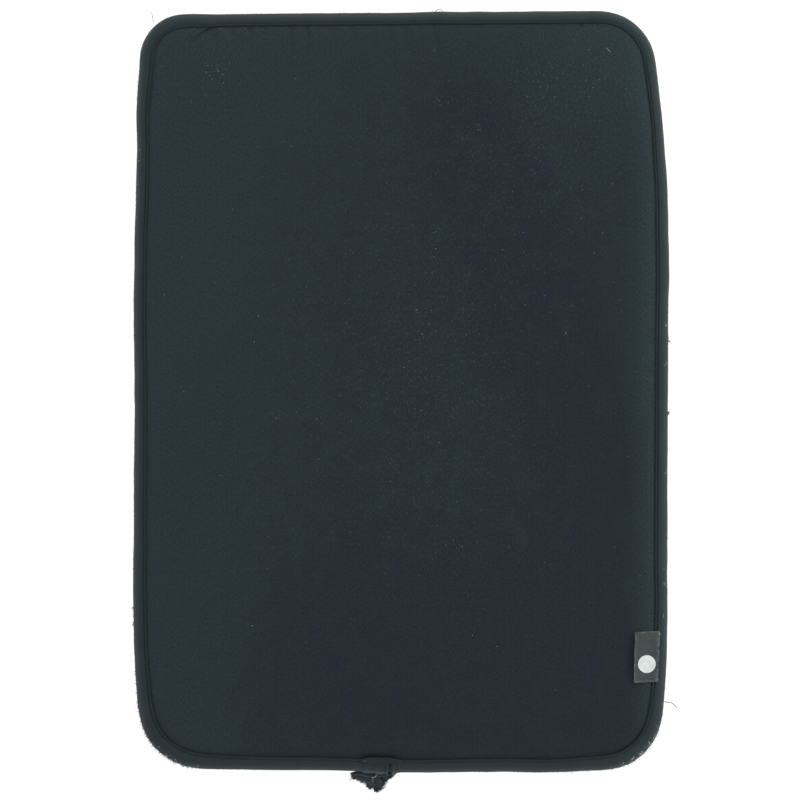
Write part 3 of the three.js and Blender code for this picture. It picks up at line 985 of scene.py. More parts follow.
def front_height(points):
    """The height of the front panel's face at each (x, y): it rolls off to the seam, less so on
    the left, is crowned, gathered and creased, and is pressed down by the garage patch."""
    inside, place = inward(points)
    x, y = points.T
    left = fade(-x, 60, 120) * (1 - fade(np.abs(y), 125, 160))
    corner = fade(np.abs(x), 95, 120) * fade(np.abs(y), 150, 175)
    roll_off = 1.5 - 0.7 * left + 1.9 * fade(-y, 150, 178) + 0.9 * fade(y, 150, 178) + 0.7 * corner
    rise = 2.2 * (1 - np.exp(-((inside / roll_off) ** 0.9)))
    crown = 1.4 * (1 - np.exp(-inside / 26.0))
    sunk = 1.3 + 0.3 * fade(-y, 150, 178) - 0.4 * corner * (y > 0)
    height = TOP - sunk + rise + crown + gathers(x, y, place, inside)
    for start, end, depth, width in CREASES:
        off, share = along_line(points, start, end)
        running_out = np.clip(1.3 - share, 0, 1) * np.clip(share * 8 + 1, 0, 1)
        less_at_seam = np.clip(inside / 1.2, 0.3, 1)
        height -= depth * bell(off / width) * running_out * less_at_seam
    patch = fade(x, GARAGE_LEFT - 2, GARAGE_LEFT + 4) * (1 - fade(x, GARAGE_FOLD, GARAGE_FOLD + 7))
    pressed = patch * (y < 0) * bell(np.clip(inside - 0.8, 0, None) / 1.6)
    waves = np.sin(x / 31 + 0.6) * np.sin(y / 43 + 1.1) * np.clip(inside / 20, 0, 1)
    return height - 1.2 * pressed + 0.1 * waves


def front_wear_and_painted_light(points, inside):
    """Paler near the seams from wear; on top of that, a painted highlight along the right edge and
    in the upper right corner, painted light down the left and along the top, and painted shade in a
    slanting zone right of the middle and over the lower half.
    """
    x, y = points.T
    # seam, smudge and worn_spot are wear; right and corner are a painted highlight, left and top
    # painted light, dark and low painted shade.
    seam = 0.2 * np.exp(-inside / 9.0)
    right = 0.5 * bell((x - 127) / 8.0)
    left = 0.3 * fade(-x, 10, 110)
    corner = 0.4 * fade(x, 50, 125) * fade(y, 110, 175)
    top = 0.16 * fade(y, 90, 185)
    smudge = 0.12 * bell(along_line(points, (56, -63), (62, -76))[0] / 2.2)
    worn_spot = 0.12 * bell(np.hypot(x + 65, y + 12) / 5)
    dark = 0.27 * bell(along_line(points, (30, 148), (101, -45))[0] / 28)
    low = 0.17 * fade(-y, 30, 130) * (1 - fade(-x, 60, 110))
    return np.clip(0.13 + seam + right + left + corner + top + smudge + worn_spot - dark - low, 0, 1)


def front_dust(points, inside):
    """Where the knit has caught most lint: the middle and the upper right."""
    x, y = points.T
    middle = bell(np.hypot(x - 15, (y - 10) / 1.7) / 75)
    upper = 0.9 * bell(np.hypot(x - 80, y - 140) / 45)
    return np.clip(middle + upper, 0, 1) * np.clip(inside / 10, 0.2, 1)


def padded_panel(name, columns, rows, face, under):
    """A closed panel: face(points) gives its outer heights, under is its flat inner side."""
    flat = panel_grid(columns, rows).reshape(-1, 2)
    outer = np.column_stack([flat, face(flat)])
    inner = np.column_stack([flat, np.full(len(flat), under)])
    return closed_patch(name, outer, inner, columns, rows, KNIT)


def add_front_panel():
    panel = padded_panel("front_panel", 300, 330, front_height, PANEL_UNDER)
    flat = points_of(panel)[:, :2]
    inside = inward(flat)[0]
    # The front's wear values carry painted light and shade as well as wear.
    store(panel, "wear", front_wear_and_painted_light(flat, inside))
    store(panel, "dust", front_dust(flat, inside))
    fold_with_flap(panel, "knit_panel", "front_panel_flap", "front_panel_fixed")


def add_back_panel():
    def face(points):
        inside = inward(points)[0]
        return 1.6 * np.exp(-((inside / 1.9) ** 0.9))

    panel = padded_panel("back_panel_shell", 80, 110, face, BACK_INSIDE)
    inside = inward(points_of(panel)[:, :2])[0]
    store(panel, "wear", 0.5 * np.exp(-inside / 10.0))
    store(panel, "dust", 0.3 * np.ones(len(inside)))
    keep_on(panel, "body", "knit_panel", "back_panel")


def add_lining(name, low, high, columns, rows):
    """A plush sheet glued to a panel; its pile side, at high, is uneven."""
    flat = panel_grid(columns, rows, inset=0.9).reshape(-1, 2)
    ripple = 0.12 * np.sin(flat[:, 0] / 9) * np.sin(flat[:, 1] / 12 + flat[:, 0] / 30)
    pile = np.column_stack([flat, high + ripple])
    base = np.column_stack([flat, np.full(len(flat), low)])
    lining = closed_patch(name, pile, base, columns, rows, PLUSH)
    return lining


def add_linings():
    into_panel = 0.25
    low, high = heights("back_lining")
    back = add_lining("back_plush", low - into_panel, high, 70, 100)
    keep_on(back, "body", "plush_lining", "back_lining")
    low, high = heights("front_lining_flap")
    front = add_lining("front_plush", high + into_panel, low, 110, 120)
    fold_with_flap(front, "plush_lining", "front_lining_flap", "front_lining_fixed")


# ---- bands, piping, binding --------------------------------------------------------------

def band_wear_and_painted_sheen(obj):
    """The outermost part of the roll is painted paler, partly rubbed wear and partly a painted sheen
    of fuzz catching the light at the rim; less of it along the bottom.
    """
    near, way = nearest_on_seam(points_of(obj)[:, :2])
    facing = SEAM_OUT[near]
    reach = (way * facing).sum(axis=1) - SEAM_FULLER[near]
    less_below = 1 - 0.35 * np.clip(-facing[:, 1], 0, 1) ** 6
    store(obj, "wear", np.clip((reach - 6.1) / 0.85, 0, 1) * less_below)


def add_band(name, section, run):
    """A padded length of the band."""
    band = swept(name, section, run, BAND)
    band_wear_and_painted_sheen(band)
    return band


def add_bands():
    low = MIDDLE - ROLL_HALF
    high = MIDDLE + ROLL_HALF
    closed = seam_run(ZIP_END + 0.1, FOLD_TOP - 0.1, 1.4)
    zip_side = seam_run(FOLD_TOP - 0.1, ZIP_END + 0.1, 1.4)
    band = add_band("side_band", band_section(low, high, 22), closed)
    keep_on(band, "body", "knit_band", "side_band_closed")
    lower = band_section(low, MIDDLE - STRIP_EDGE, 14, hem_high=True)
    keep_on(add_band("zip_strip_back", lower, zip_side), "body", "knit_band", "side_band_back")
    upper = band_section(MIDDLE + STRIP_EDGE, high, 14, hem_low=True)
    strip = add_band("zip_strip_front", upper, zip_side)
    fold_with_flap(strip, "knit_band", "side_band_flap", "side_band_end")


def add_piping():
    run = whole_seam(1.0)
    top = round_section(WELT_OUT, TOP - WELT_RADIUS + 0.15, WELT_RADIUS, 12, 31)
    fold_with_flap(
        swept("front_piping", top, run, PIPING, closed=True),
        "piping", "front_welt_flap", "front_welt_fixed",
    )
    under = round_section(WELT_OUT, WELT_RADIUS + 0.1, WELT_RADIUS, 10, 37, 0.02)
    keep_on(swept("back_piping", under, run, PIPING, closed=True), "body", "piping", "back_welt")


def add_bindings():
    """Folded tape over the raw edges in the corner of the pocket."""
    run = whole_seam(1.6)
    low, high = heights("binding_back")
    angle = angles(12)
    wide, tall = (np.sign(way) * np.abs(way) ** 0.5 for way in (np.cos(angle), np.sin(angle)))
    loop = np.stack([0.8 * wide - 0.4, (low + high) / 2 + (high - low) / 2 * tall], axis=1)
    back = swept("pocket_binding_back", even_section(loop), run, BINDING, closed=True)
    keep_on(back, "body", "binding_tape", "binding_back")
    loop[:, 1] = 2 * MIDDLE - loop[:, 1]
    front = swept("pocket_binding_front", even_section(loop), run, BINDING, closed=True)
    fold_with_flap(front, "binding_tape", "binding_front_flap", "binding_front_fixed")


# ---- zip ---------------------------------------------------------------------------------

TOOTH_PITCH = 1.3
TAPE_OUT = 2.5


def tape_loop(sign):
    """A woven tape with a rounded inner edge, in front of (1) or behind (-1) the parting."""
    edge, reach, half = 0.45, 7.0, 0.3
    corners = [
        (TAPE_OUT - half, edge), (TAPE_OUT, edge - 0.15), (TAPE_OUT + half, edge),
        (TAPE_OUT + half, reach / 2), (TAPE_OUT + half, reach), (TAPE_OUT - half, reach),
        (TAPE_OUT - half, reach / 2),
    ]
    return [(out, MIDDLE + sign * z) for out, z in corners]


def tooth(sign):
    """One turn of the coil: an arch that stands out from the tape, with a head past the parting.
    Each row runs from the arch's foot on the tape to the tip of its head."""
    rise = np.array([2.35, 1.9, 1.0, 0.1, -0.25, -0.3])
    out = TAPE_OUT + np.array([0.65, 1.4, 2.15, 2.0, 1.4, 0.8])
    lean = np.array([0.35, 0.25, 0.05, -0.05, -0.05, 0.05])
    radii = np.array([0.3, 0.34, 0.36, 0.4, 0.42, 0.28])
    path = np.stack([lean, out, MIDDLE + sign * rise], axis=1)
    return tube(path, radii, 7)


def add_chain(name, sign, start, end, shift):
    """The teeth of one side of the coil."""
    s = np.arange(start + shift, end, TOOTH_PITCH)
    places = seam_points(s, zip_shift(s), 0.0)
    return scattered(name, tooth(sign), places, seam_axes(s), NYLON)


def hem_stitches(name, sign, start, end):
    """A row of topstitches along a strip's hem; each dips into the cloth at both ends."""
    length, pitch, thick = 2.1, 3.0, 0.2
    hem = STRIP_EDGE + 1.6
    out = float(roll_out(MIDDLE + hem)) - 0.42
    s = np.arange(start, end, pitch)
    along = length / 2 * np.array([-1, -0.7, 0, 0.7, 1])
    rise = thick * np.array([-1.2, 0.1, 0.55, 0.1, -1.2])
    path = np.stack([along, rise, np.zeros(5)], axis=1)
    base = tube(path, thick * np.array([0.6, 1, 1.05, 1, 0.6]), 6)
    places = seam_points(s, out + band_swell(s), MIDDLE + sign * hem)
    return scattered(name, base, places, seam_axes(s), STITCH)


def add_tape(name, sign, path):
    """The tape is cut wider than the part of it that is free of the seam."""
    tape = swept(name, even_section(tape_loop(sign)[::sign], zip_shift), path, ZIP_TAPE)
    free = arc(tape_loop(1)) / 2 * MM
    return tape


def add_zip():
    path = seam_run(FOLD_TOP - 0.2, ZIP_END + 0.2, 1.4)
    back = add_tape("zip_tape_lower", -1, path)
    keep_on(back, "body", "zip_tape", "zip_tape_back")
    front = add_tape("zip_tape_upper", 1, path)
    fold_with_flap(front, "zip_tape", "zip_tape_flap", "zip_tape_end")
    start = FOLD_TOP + (FOLD_TOP_X - COIL_TOP_X)
    end = FOLD_TOP + (ZIP_END - FOLD_TOP) % SEAM_LENGTH - (ZIP_END_X - COIL_END_X)
    lower = add_chain("coil_lower", -1, start, end, 0.4)
    keep_on(lower, "body", "zip_coil", "zip_coil_back")
    upper = add_chain("coil_upper", 1, start, end, 0.4 + TOOTH_PITCH / 2)
    fold_with_flap(upper, "zip_coil", "zip_coil_flap", "zip_coil_end")
    keep_on(hem_stitches("hem_stitches_back", -1, start, end), "body", "knit_band")
    fold_with_flap(hem_stitches("hem_stitches_front", 1, start, end), "knit_band")


def finish_metal():
    """Rounds the edges of the small metal parts and gives them their plating."""
    for name in ("slider_body", "pull_ring", "zip_stop_top", "zip_stop_bottom"):
        part = frame["nodes"][name]
        part.data.materials.clear()
        part.data.materials.append(METAL)
        bevel = part.modifiers.new("softened", "BEVEL")
        bevel.width = 0.00022
        bevel.segments = 3
        bevel.limit_method = "ANGLE"
        bevel.angle_limit = math.radians(35)
        bevel.use_clamp_overlap = True
        bevel.harden_normals = True


# ---- the garage over the parked slider ---------------------------------------------------

def garage_surface(x):
    """(face, normal), as (out, z), at each x and at each step down the patch. It lies over the
    piping and the crest of the band, then down the strip. Near its fold it is fuller, with a
    sharp ridge, a slot to the right of that and a second, rounder ridge in the tail."""
    from_fold = x - GARAGE_FOLD
    reach = fade(x, GARAGE_LEFT, GARAGE_LEFT + 6) * (1 - fade(x, GARAGE_FOLD, GARAGE_RIGHT))
    tight = fade(x, GARAGE_LEFT, GARAGE_LEFT + 2) * (1 - fade(x, GARAGE_RIGHT - 3, GARAGE_RIGHT))
    lip = -0.2 - 0.9 * reach[:, None]
    over = lip + (3.2 - lip) * np.linspace(0, 1, 9)
    beyond = over - 0.7
    crest = TOP + 0.55 - np.where(beyond > 0, 0.2, 0.1) * beyond**2
    z = np.linspace(TOP - 1.5, MIDDLE + STRIP_EDGE + 0.5, 13)
    down = np.stack([roll_out(z) + 0.15, z], axis=1)
    down = np.repeat(down[None], len(x), axis=0)
    line = np.concatenate([np.stack([over, crest], axis=2), down], axis=1)
    for _ in range(2):
        line[:, 1:-1] = (line[:, :-2] + 2 * line[:, 1:-1] + line[:, 2:]) / 4
    tangent = unit(np.gradient(line, axis=1))
    normal = np.stack([-tangent[:, :, 1], tangent[:, :, 0]], axis=2)
    low = fade(line[:, :, 0], 1.4, 2.9)
    full = 0.6 * bell((from_fold + 3.5) / 3.0)
    ridge = 1.0 * bell((from_fold + 0.5) / 0.45)
    slot = fade(from_fold, -0.05, 0.2) - fade(from_fold, 1.4, 1.7)
    second = 1.1 * bell((from_fold - 2.2) / 0.8)
    way = np.linspace(0, 1, line.shape[1])
    wrinkle = 0.14 * np.sin(x * 1.1 + 1)[:, None] * np.sin(way * 7 + 0.4)
    lift = (full + ridge + second - 1.9 * slot)[:, None] * low + wrinkle * low
    off = -0.35 + 0.75 * tight[:, None] + lift
    return line + off[:, :, None] * normal, normal


def add_garage():
    """A patch sewn in with the piping: it arches over the seam and is folded back on its right."""
    evenly = np.linspace(GARAGE_LEFT, GARAGE_RIGHT, 60)
    x = np.unique(np.concatenate([evenly, GARAGE_FOLD + np.linspace(-1, 2.6, 45)]))
    s = seam_place(GARAGE_LEFT, -1) + (x - GARAGE_LEFT)
    face, normal = garage_surface(x)
    loops = np.concatenate([face, (face - 0.5 * normal)[:, ::-1]], axis=1)
    size = loops.shape[1]
    index = ring_index(len(s), size)
    every = grid_faces(index)
    caps = index[[0, -1], :-1]
    down = np.linspace(0, arc(face[0]), size // 2)
    down = np.concatenate([down, down[::-1]])
    cloth = np.stack(np.meshgrid(s, down, indexing="ij"), axis=-1).reshape(-1, 2)
    faces = every.tolist() + caps.tolist()
    uvs = cloth[np.concatenate([every.ravel(), caps.ravel()])]
    patch = new_object("zip_garage_patch", on_seam(loops, s), faces, SHADED_GARAGE_KNIT, uvs)
    band_wear_and_painted_sheen(patch)
    cut = (float((GARAGE_RIGHT - GARAGE_LEFT) * MM), float(arc(face[len(s) // 2]) * MM))
    keep_on(patch, "body", "garage_fabric", "zip_garage")
    add_tacks(GARAGE_LEFT + np.array([2.4, 3.4]))


def add_tacks(x):
    """The two pale stitch ends that hold the patch."""
    face = garage_surface(x)[0]
    row = np.argmin(np.abs(face[:, :, 0] - 0.9), axis=1)
    out, z = face[np.arange(len(x)), row].T
    places = seam_points(seam_place(x[0], -1) + x - x[0], out, z)
    knots = [(-0.2, 0, 0), (-0.1, 0, 0.1), (0.1, 0, 0.1), (0.2, 0, 0)]
    bead = tube(knots, [0.05, 0.12, 0.12, 0.05], 6)
    axes = np.tile(np.eye(3), (len(x), 1, 1))
    keep_on(scattered("garage_tacks", bead, places, axes, LINT), "body", "garage_fabric")


# ---- the frayed pull ---------------------------------------------------------------------

# The worn edges of the pull's two plies, clockwise from the left tip. They are measured in x
# from the slider's middle and in y from the outside of the band.
PULL_EDGE = (
    (-11.9, -0.2), (-6.0, 1.6), (0.6, 1.8), (7.0, 1.6), (12.4, -0.1),
    (10.9, -1.3), (8.4, -2.8), (6.7, -4.1), (6.2, -6.1), (4.3, -8.0), (3.3, -9.2), (2.4, -9.8),
    (1.4, -9.5), (0.5, -8.5), (-0.5, -8.2), (-1.4, -8.4), (-2.6, -7.0), (-4.2, -5.6), (-5.8, -4.5),
    (-7.6, -3.5), (-9.8, -2.3),
)
PULL_UPPER = (
    (-11.5, -0.2), (-6.0, 1.5), (0.6, 1.6), (7.0, 1.5), (12.1, -0.1),
    (9.6, -1.4), (6.2, -2.0), (2.8, -2.2), (-0.6, -2.6), (-4.4, -2.0), (-8.2, -1.2),
)


def ragged_rim(edge, count, lumps, fine, seed):
    """An edge of evenly spaced points, torn everywhere below the band."""
    rng = np.random.default_rng(seed)
    rim = resampled(edge, count)
    soft = smooth_round(rng.normal(0, 1, (count, 2)), 2) * lumps * 2.2
    torn = np.clip(-rim[:, 1:] / 2.5, 0, 1) * (soft + rng.normal(0, fine, (count, 2)))
    return rim, torn


def pull_ply(name, edge, origin, level, thick, lumps, fine, seed):
    """One ply of coarse textile inside a torn edge, as a closed sheet."""
    rim, torn = ragged_rim(edge, 240, lumps, fine, seed)
    middle = np.array([0.4, -1.6 + 0.25 * rim[:, 1].min()])
    shares = np.linspace(1, 0.05, 15)
    x, y = np.stack([middle + (rim - middle + torn * k**4) * k for k in shares], axis=1).T
    height = level(x, y)
    half = thick / 2 * (1 - 0.5 * (shares > 0.97))[:, None]
    top = np.stack([x + origin[0], y + origin[1], height + half]).T
    under = np.stack([x + origin[0], y + origin[1], height - half]).T
    return closed_fan(name, top, under, FRAYED)


def lower_level(x, y):
    """The torn ply is crumpled, and sinks towards its tip."""
    crumple = 0.35 * np.sin(x * 1.3 + y * 0.5) + 0.3 * np.sin(y * 1.9 + x * 0.9)
    fold = 0.6 * bell((x + 0.25 * y + 2.6) / 1.3)
    fold -= 0.7 * bell((x - 3.4 + 0.3 * y) / 0.9)
    return 18.3 + 0.3 * y + fold + 1.2 * crumple


def upper_level(x, y):
    """The folded ply is smoother, with a raised hem along its lower edge."""
    hem = -2.3 + 0.16 * np.abs(x - 0.5)
    ridge = 0.55 * bell((y - hem - 0.35) / 0.5)
    return 19.6 + 0.12 * y + ridge + 0.18 * np.sin(x * 0.8 + 1)


def add_pull():
    """Two plies of coarse textile fanned out over the ring and frayed to loose yarn."""
    origin = np.array([PARKED_X, extent("side_band_end", "y")[0] - 0.4])
    lower = pull_ply("frayed_pull", PULL_EDGE, origin, lower_level, 1.0, 0.3, 0.14, 12)
    hang_with_pull(lower, "pull_fabric")
    upper = pull_ply("pull_fold", PULL_UPPER, origin, upper_level, 0.8, 0.12, 0.06, 14)
    hang_with_pull(upper)
    rim, torn = ragged_rim(PULL_EDGE, 240, 0.3, 0.14, 12)
    add_pull_fray(rim + torn + origin, lower_level(rim[:, 0], rim[:, 1]), origin)


def hang_with_pull(piece, *nodes):
    """The wide end stays under the band with the slider. The piece is baked where it lies, and the
    frame's nodes it replaces are hidden.
    """
    take_place(nodes)
    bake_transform(piece)


def hairs(name, roots, ways, lengths, radius, material, curl, seed, sides=3):
    """Many fine fibres, each a tapered closed tube that bends at random."""
    rng = np.random.default_rng(seed)
    verts, faces = [], []
    for root, way, length in zip(roots, ways, lengths):
        way = way / max(np.linalg.norm(way), 1e-9)
        side = rng.normal(0, 1, 3)
        side -= (side @ way) * way
        side /= max(np.linalg.norm(side), 1e-9)
        t = np.linspace(0, 1, 6)[:, None]
        path = root + length * (t * way + curl * t**2 * side * rng.uniform(0.3, 1))
        made, these = tube(path, radius * np.array([1, 0.95, 0.9, 0.8, 0.6, 0.3]), sides)
        faces.extend([[i + len(verts) * len(made) for i in face] for face in these])
        verts.append(made)
    return new_object(name, np.vstack(verts), faces, material)


# Long strays of yarn: (x, y) of the root from the torn ply's left tip, its way, its length.
STRAYS = (
    ((1.7, -2.2), (-1.2, -1.5, -0.3), 3.0),
    ((1.2, -1.2), (-0.5, -1.0, -0.1), 1.6),
    ((2.8, -2.9), (-1.6, -1.2, -0.3), 1.4),
    ((17.4, -4.4), (1.4, -0.3, -0.3), 2.0),
    ((18.2, -3.8), (1.6, 0.6, 0.0), 2.4),
    ((16.0, -7.8), (1.2, -0.2, -0.3), 1.8),
    ((20.4, -2.4), (1.2, 0.9, 0.1), 1.2),
)
# The fibres of a pale fleck: (x, y) from the pull's own origin and the height, way, length.
FLECK = (
    ((-0.5, -2.3, 20.2), (1, 0.2, 0.05), 0.9),
    ((0.3, -2.4, 20.3), (1, 0.3, 0.1), 0.9),
    ((1.1, -2.0, 20.5), (0.6, 1, 0.2), 0.8),
    ((1.8, -1.4, 20.7), (0.4, 1.2, 0.1), 0.8),
    ((2.4, -0.8, 20.8), (0.3, 1.3, 0), 0.7),
)


def add_pull_fray(rim, level, origin):
    """Loose yarn along the torn edges, a few long strays and a pale fleck."""
    rng = np.random.default_rng(41)
    left = rim[rim[:, 0].argmin()]
    low = np.flatnonzero(rim[:, 1] < left[1] - 1.2)
    middle = np.array([rim[:, 0].mean(), left[1] - 2.0, 16.5])
    for name, count, radius, curl, reach in (
        ("pull_fray", 260, 0.07, 0.6, (0.4, 1.3)),
        ("pull_yarn", 170, 0.17, 1.4, (0.7, 1.7)),
    ):
        pick = rng.choice(low, count)
        roots = np.column_stack([rim[pick], level[pick]]) + rng.normal(0, 0.16, (count, 3))
        ways = unit(roots - middle)
        roots -= 0.8 * ways * (radius > 0.1)
        ways += rng.normal(0, 0.55, ways.shape) * (1, 1, 0.4)
        lengths = rng.uniform(*reach, count)
        hang_with_pull(hairs(name, roots, ways, lengths, radius, FRAYED, curl, 5, 5))
    starts, ways, lengths = (np.array(column, float) for column in zip(*STRAYS))
    starts = np.column_stack([left + starts, 17.6 - 0.1 * np.arange(len(starts))])
    hang_with_pull(hairs("pull_strays", starts, ways, lengths, 0.23, FRAYED, 0.5, 9, 5))
    starts, ways, lengths = (np.array(column, float) for column in zip(*FLECK))
    starts[:, :2] += origin
    hang_with_pull(hairs("pull_fleck", starts, ways, lengths, 0.2, LINT, 0.15, 3, 5))


# ---- label -------------------------------------------------------------------------------

LABEL_LOW, LABEL_HIGH = (np.array(corner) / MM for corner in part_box("label"))
LABEL_WIDE, LABEL_LONG = (LABEL_HIGH - LABEL_LOW)[:2]


def label_surface(x, y):
    """The height of the label: over the piping on its right, lifted along its free left edge."""
    flat = np.stack([x.ravel(), y.ravel()], axis=1)
    panel_end, on_piping = 127.2, 0.62
    flat[:, 0] = np.minimum(flat[:, 0], panel_end)
    face = front_height(flat).reshape(x.shape)
    inner = (x - LABEL_LOW[0]) / LABEL_WIDE
    lift = 1.9 * np.clip(1 - inner / on_piping, 0, 1) ** 1.5 + 0.35
    bridge = TOP + 0.55 - 19 * np.clip(inner - 0.9, 0, 1) ** 2
    blend = 1 / (1 + np.exp(-(inner - on_piping) * 16))
    return (face + lift) * (1 - blend) + (bridge + 0.1) * blend + 0.06 * np.sin(y * 0.9 + x * 0.4)


def label_slant(u, v):
    """The label leans: how far right each share (u across, v up) of it lies."""
    return (0.6 + 0.5 * u) * (v - 0.6)


def add_label():
    columns, rows = 30, 52
    u, v = np.meshgrid(np.linspace(0, 1, columns), np.linspace(0, 1, rows), indexing="ij")
    y = LABEL_LOW[1] + LABEL_LONG * v + 0.35 * (u - 0.5)
    cut_edge = RNG.normal(0, 0.16, rows)[None] * (u == 1)
    worn_edge = 0.12 * np.sin(v * 17) * (u == 0)
    x = LABEL_LOW[0] + LABEL_WIDE * u + cut_edge + worn_edge + label_slant(u, v)
    z = label_surface(x, y)
    half = 0.2
    top = np.stack([x, y, z + half], axis=2).reshape(-1, 3)
    under = np.stack([x, y, z - half], axis=2).reshape(-1, 3)
    label = closed_patch("woven_label", top, under, columns, rows, SATIN)
    wide_on_right = 9.0
    edges = [u * LABEL_WIDE, (1 - u) * wide_on_right, v * LABEL_LONG, (1 - v) * LABEL_LONG]
    near = np.minimum.reduce(edges)
    wear = bell(near / 0.75).ravel()
    store(label, "wear", np.concatenate([wear, wear]))
    keep_on(label, "body", "label_satin", "label")
    add_label_disc()
    add_label_fray()


def add_label_disc():
    """A plain pale woven disc."""
    centre = (LABEL_LOW + LABEL_HIGH)[:2] / 2 + (0.1, 9.2 - LABEL_LONG / 2)
    radius = 4.5
    above, below = 0.27, 0.1
    spokes = 72
    angle = angles(spokes)
    shares = np.linspace(1, 0.04, 12)
    ragged = 1 + RNG.normal(0, 0.006, spokes)
    ways = np.stack([np.cos(angle), np.sin(angle)]) * ragged
    x, y = centre[:, None, None] + radius * shares * ways[:, :, None]
    z = label_surface(x, y)
    top = np.stack([x, y, z + above], axis=2)
    under = np.stack([x, y, z + below], axis=2)
    keep_on(closed_fan("label_disc", top, under, PALE), "body", "label_satin")


def add_label_fray():
    """Short cut threads along the label's right edge and at its corners."""
    count = 90
    v = RNG.uniform(0, 1, count)
    y = LABEL_LOW[1] + LABEL_LONG * v
    x = LABEL_HIGH[0] + label_slant(1, v) + RNG.normal(0, 0.12, count)
    z = label_surface(x - 0.2, y) + 0.1
    ways = np.column_stack([
        RNG.uniform(0.2, 1, count), RNG.normal(0, 1, count), RNG.uniform(-0.6, 0.3, count),
    ])
    lengths = RNG.uniform(0.2, 0.6, count)
    roots = np.column_stack([x, y, z])
    threads = hairs("label_fray", roots, ways, lengths, 0.04, LINT, 0.35, 8)
    keep_on(threads, "body", "label_satin")


# ---- fuzz, lint and stray threads --------------------------------------------------------

def past(points, place):
    """How far points lie past a place, on the way from the fixed side to the flap."""
    left = np.array((FOLD_END - FOLD_START).normalized())[:2]
    return (points[:, :2] - np.array(place)[:2] / MM) @ left


def hairs_by_side(name, roots, ways, lengths, radius, material, curl, seed, slot):
    """Hairs on the fixed side stay with the body, and those that turn all the way with the flap
    go with it; there are none between."""
    for body, chosen in (("body", past(roots, FOLD_START) < 0), ("flap", past(roots, FOLD_END) > 0)):
        if chosen.any():
            args = (roots[chosen], ways[chosen], lengths[chosen], radius, material, curl, seed)
            keep_on(hairs(name + "_" + body, *args), body, slot)


def add_band_fuzz():
    """Short fibres rubbed out of the knit along the roll."""
    count = 3400
    s = RNG.uniform(0, SEAM_LENGTH, count)
    z = RNG.uniform(MIDDLE + STRIP_EDGE + 0.6, MIDDLE + BAND_HALF - 0.6, count)
    roots = seam_points(s, roll_out(z) + band_swell(s) - 0.05, z)
    spin = RNG.normal(0, 1, (count, 3)) * (1.0, 0.5, 0.5) + (0, 0.9, 0)
    ways = np.einsum("nk,nkj->nj", spin, seam_axes(s))
    lengths = RNG.gamma(3.0, 0.2, count)
    hairs_by_side("band_fuzz", roots, ways, lengths, 0.045, FUZZ, 0.6, 21, "knit_band")


# Where the roll is worn ragged: x, y, how far the tuft spreads along the seam, how many fibres.
DARK_TUFTS = (
    (-127, -179, 15, 300), (124, -182, 13, 130), (92, -191, 12, 60), (-133, 160, 9, 45),
    (-136, -114, 3, 20), (134, -75, 12, 30),
)
SNAGS = ((136, 25.4, 0.25, 10), (136, -11.2, 0.5, 16), (-136, -118, 0.3, 8), (-136, -110, 0.3, 6))
PALE_TUFTS = (
    (124, -182, 7, 70), (-112, -188, 6, 26), (135, 33, 0.8, 12), (135, 13.7, 0.4, 7),
    (135, -41.5, 0.4, 4), (130, -100, 20, 10), (-134, 120, 30, 12),
)


def add_tufts(name, tufts, lowest, highest, reach, radius, material, seed):
    """Longer fibres in tufts on the roll, between two heights over the strip's lower edge; reach
    is their mean length."""
    rng = np.random.default_rng(seed)
    spots = []
    for x, y, spread, count in tufts:
        middle = inward(np.array([(x, y)], float))[1]
        spots.append(rng.normal(middle, spread, count))
    s = np.concatenate(spots)
    z = MIDDLE + STRIP_EDGE + rng.uniform(lowest, highest, len(s))
    roots = seam_points(s, roll_out(z) + band_swell(s) - 0.08, z)
    spin = rng.normal(0, 1, (len(s), 3)) * (1.0, 0.4, 0.5) + (0, 1.1, 0)
    ways = np.einsum("nk,nkj->nj", spin, seam_axes(s))
    lengths = rng.gamma(4.0, reach / 4.0, len(s))
    hairs_by_side(name, roots, ways, lengths, radius, material, 0.7, seed, "knit_band")


# Lint on the front: x, y, how many specks, how far they scatter.
LINT_CLUSTERS = (
    (-93, 160, 34, 4.5), (73, 155, 34, 7.0), (20, 149, 6, 2.0), (20, 81, 5, 2.0),
    (31, -78, 6, 1.5), (40, 132, 4, 1.5), (-64, -13, 4, 1.5), (88, 60, 14, 22),
    (-60, 20, 50, 70), (30, -60, 60, 80), (60, 90, 50, 60), (102, 158, 8, 5),
    (116, 150, 4, 2), (0, 0, 60, 110),
)


def add_lint():
    """Specks and short fibres caught on the knit."""
    places = [RNG.normal((x, y), spread, (count, 2)) for x, y, count, spread in LINT_CLUSTERS]
    flat = np.vstack(places)
    inside = inward(flat)[0]
    within = (np.abs(flat[:, 0]) < 124) & (np.abs(flat[:, 1]) < 180) & (inside > 3)
    flat = flat[within]
    z = front_height(flat) + 0.05
    roots = np.column_stack([flat, z])
    ways = RNG.normal(0, 1, roots.shape) * (1, 1, 0.12)
    lengths = RNG.gamma(2.0, 0.12, len(roots)) + 0.12
    hairs_by_side("lint", roots, ways, lengths, 0.065, LINT, 0.3, 31, "knit_panel")


def add_hair():
    """One pale hair lying on the upper right of the panel."""
    line = np.array([(104.0, 173.6), (104.8, 172.9), (105.5, 172.2), (106.2, 171.5)])
    path = np.column_stack([line, front_height(line) + 0.15])
    keep_on(strand("hair_upper_right", path, 0.07, 5, LINT), "body", "knit_panel")


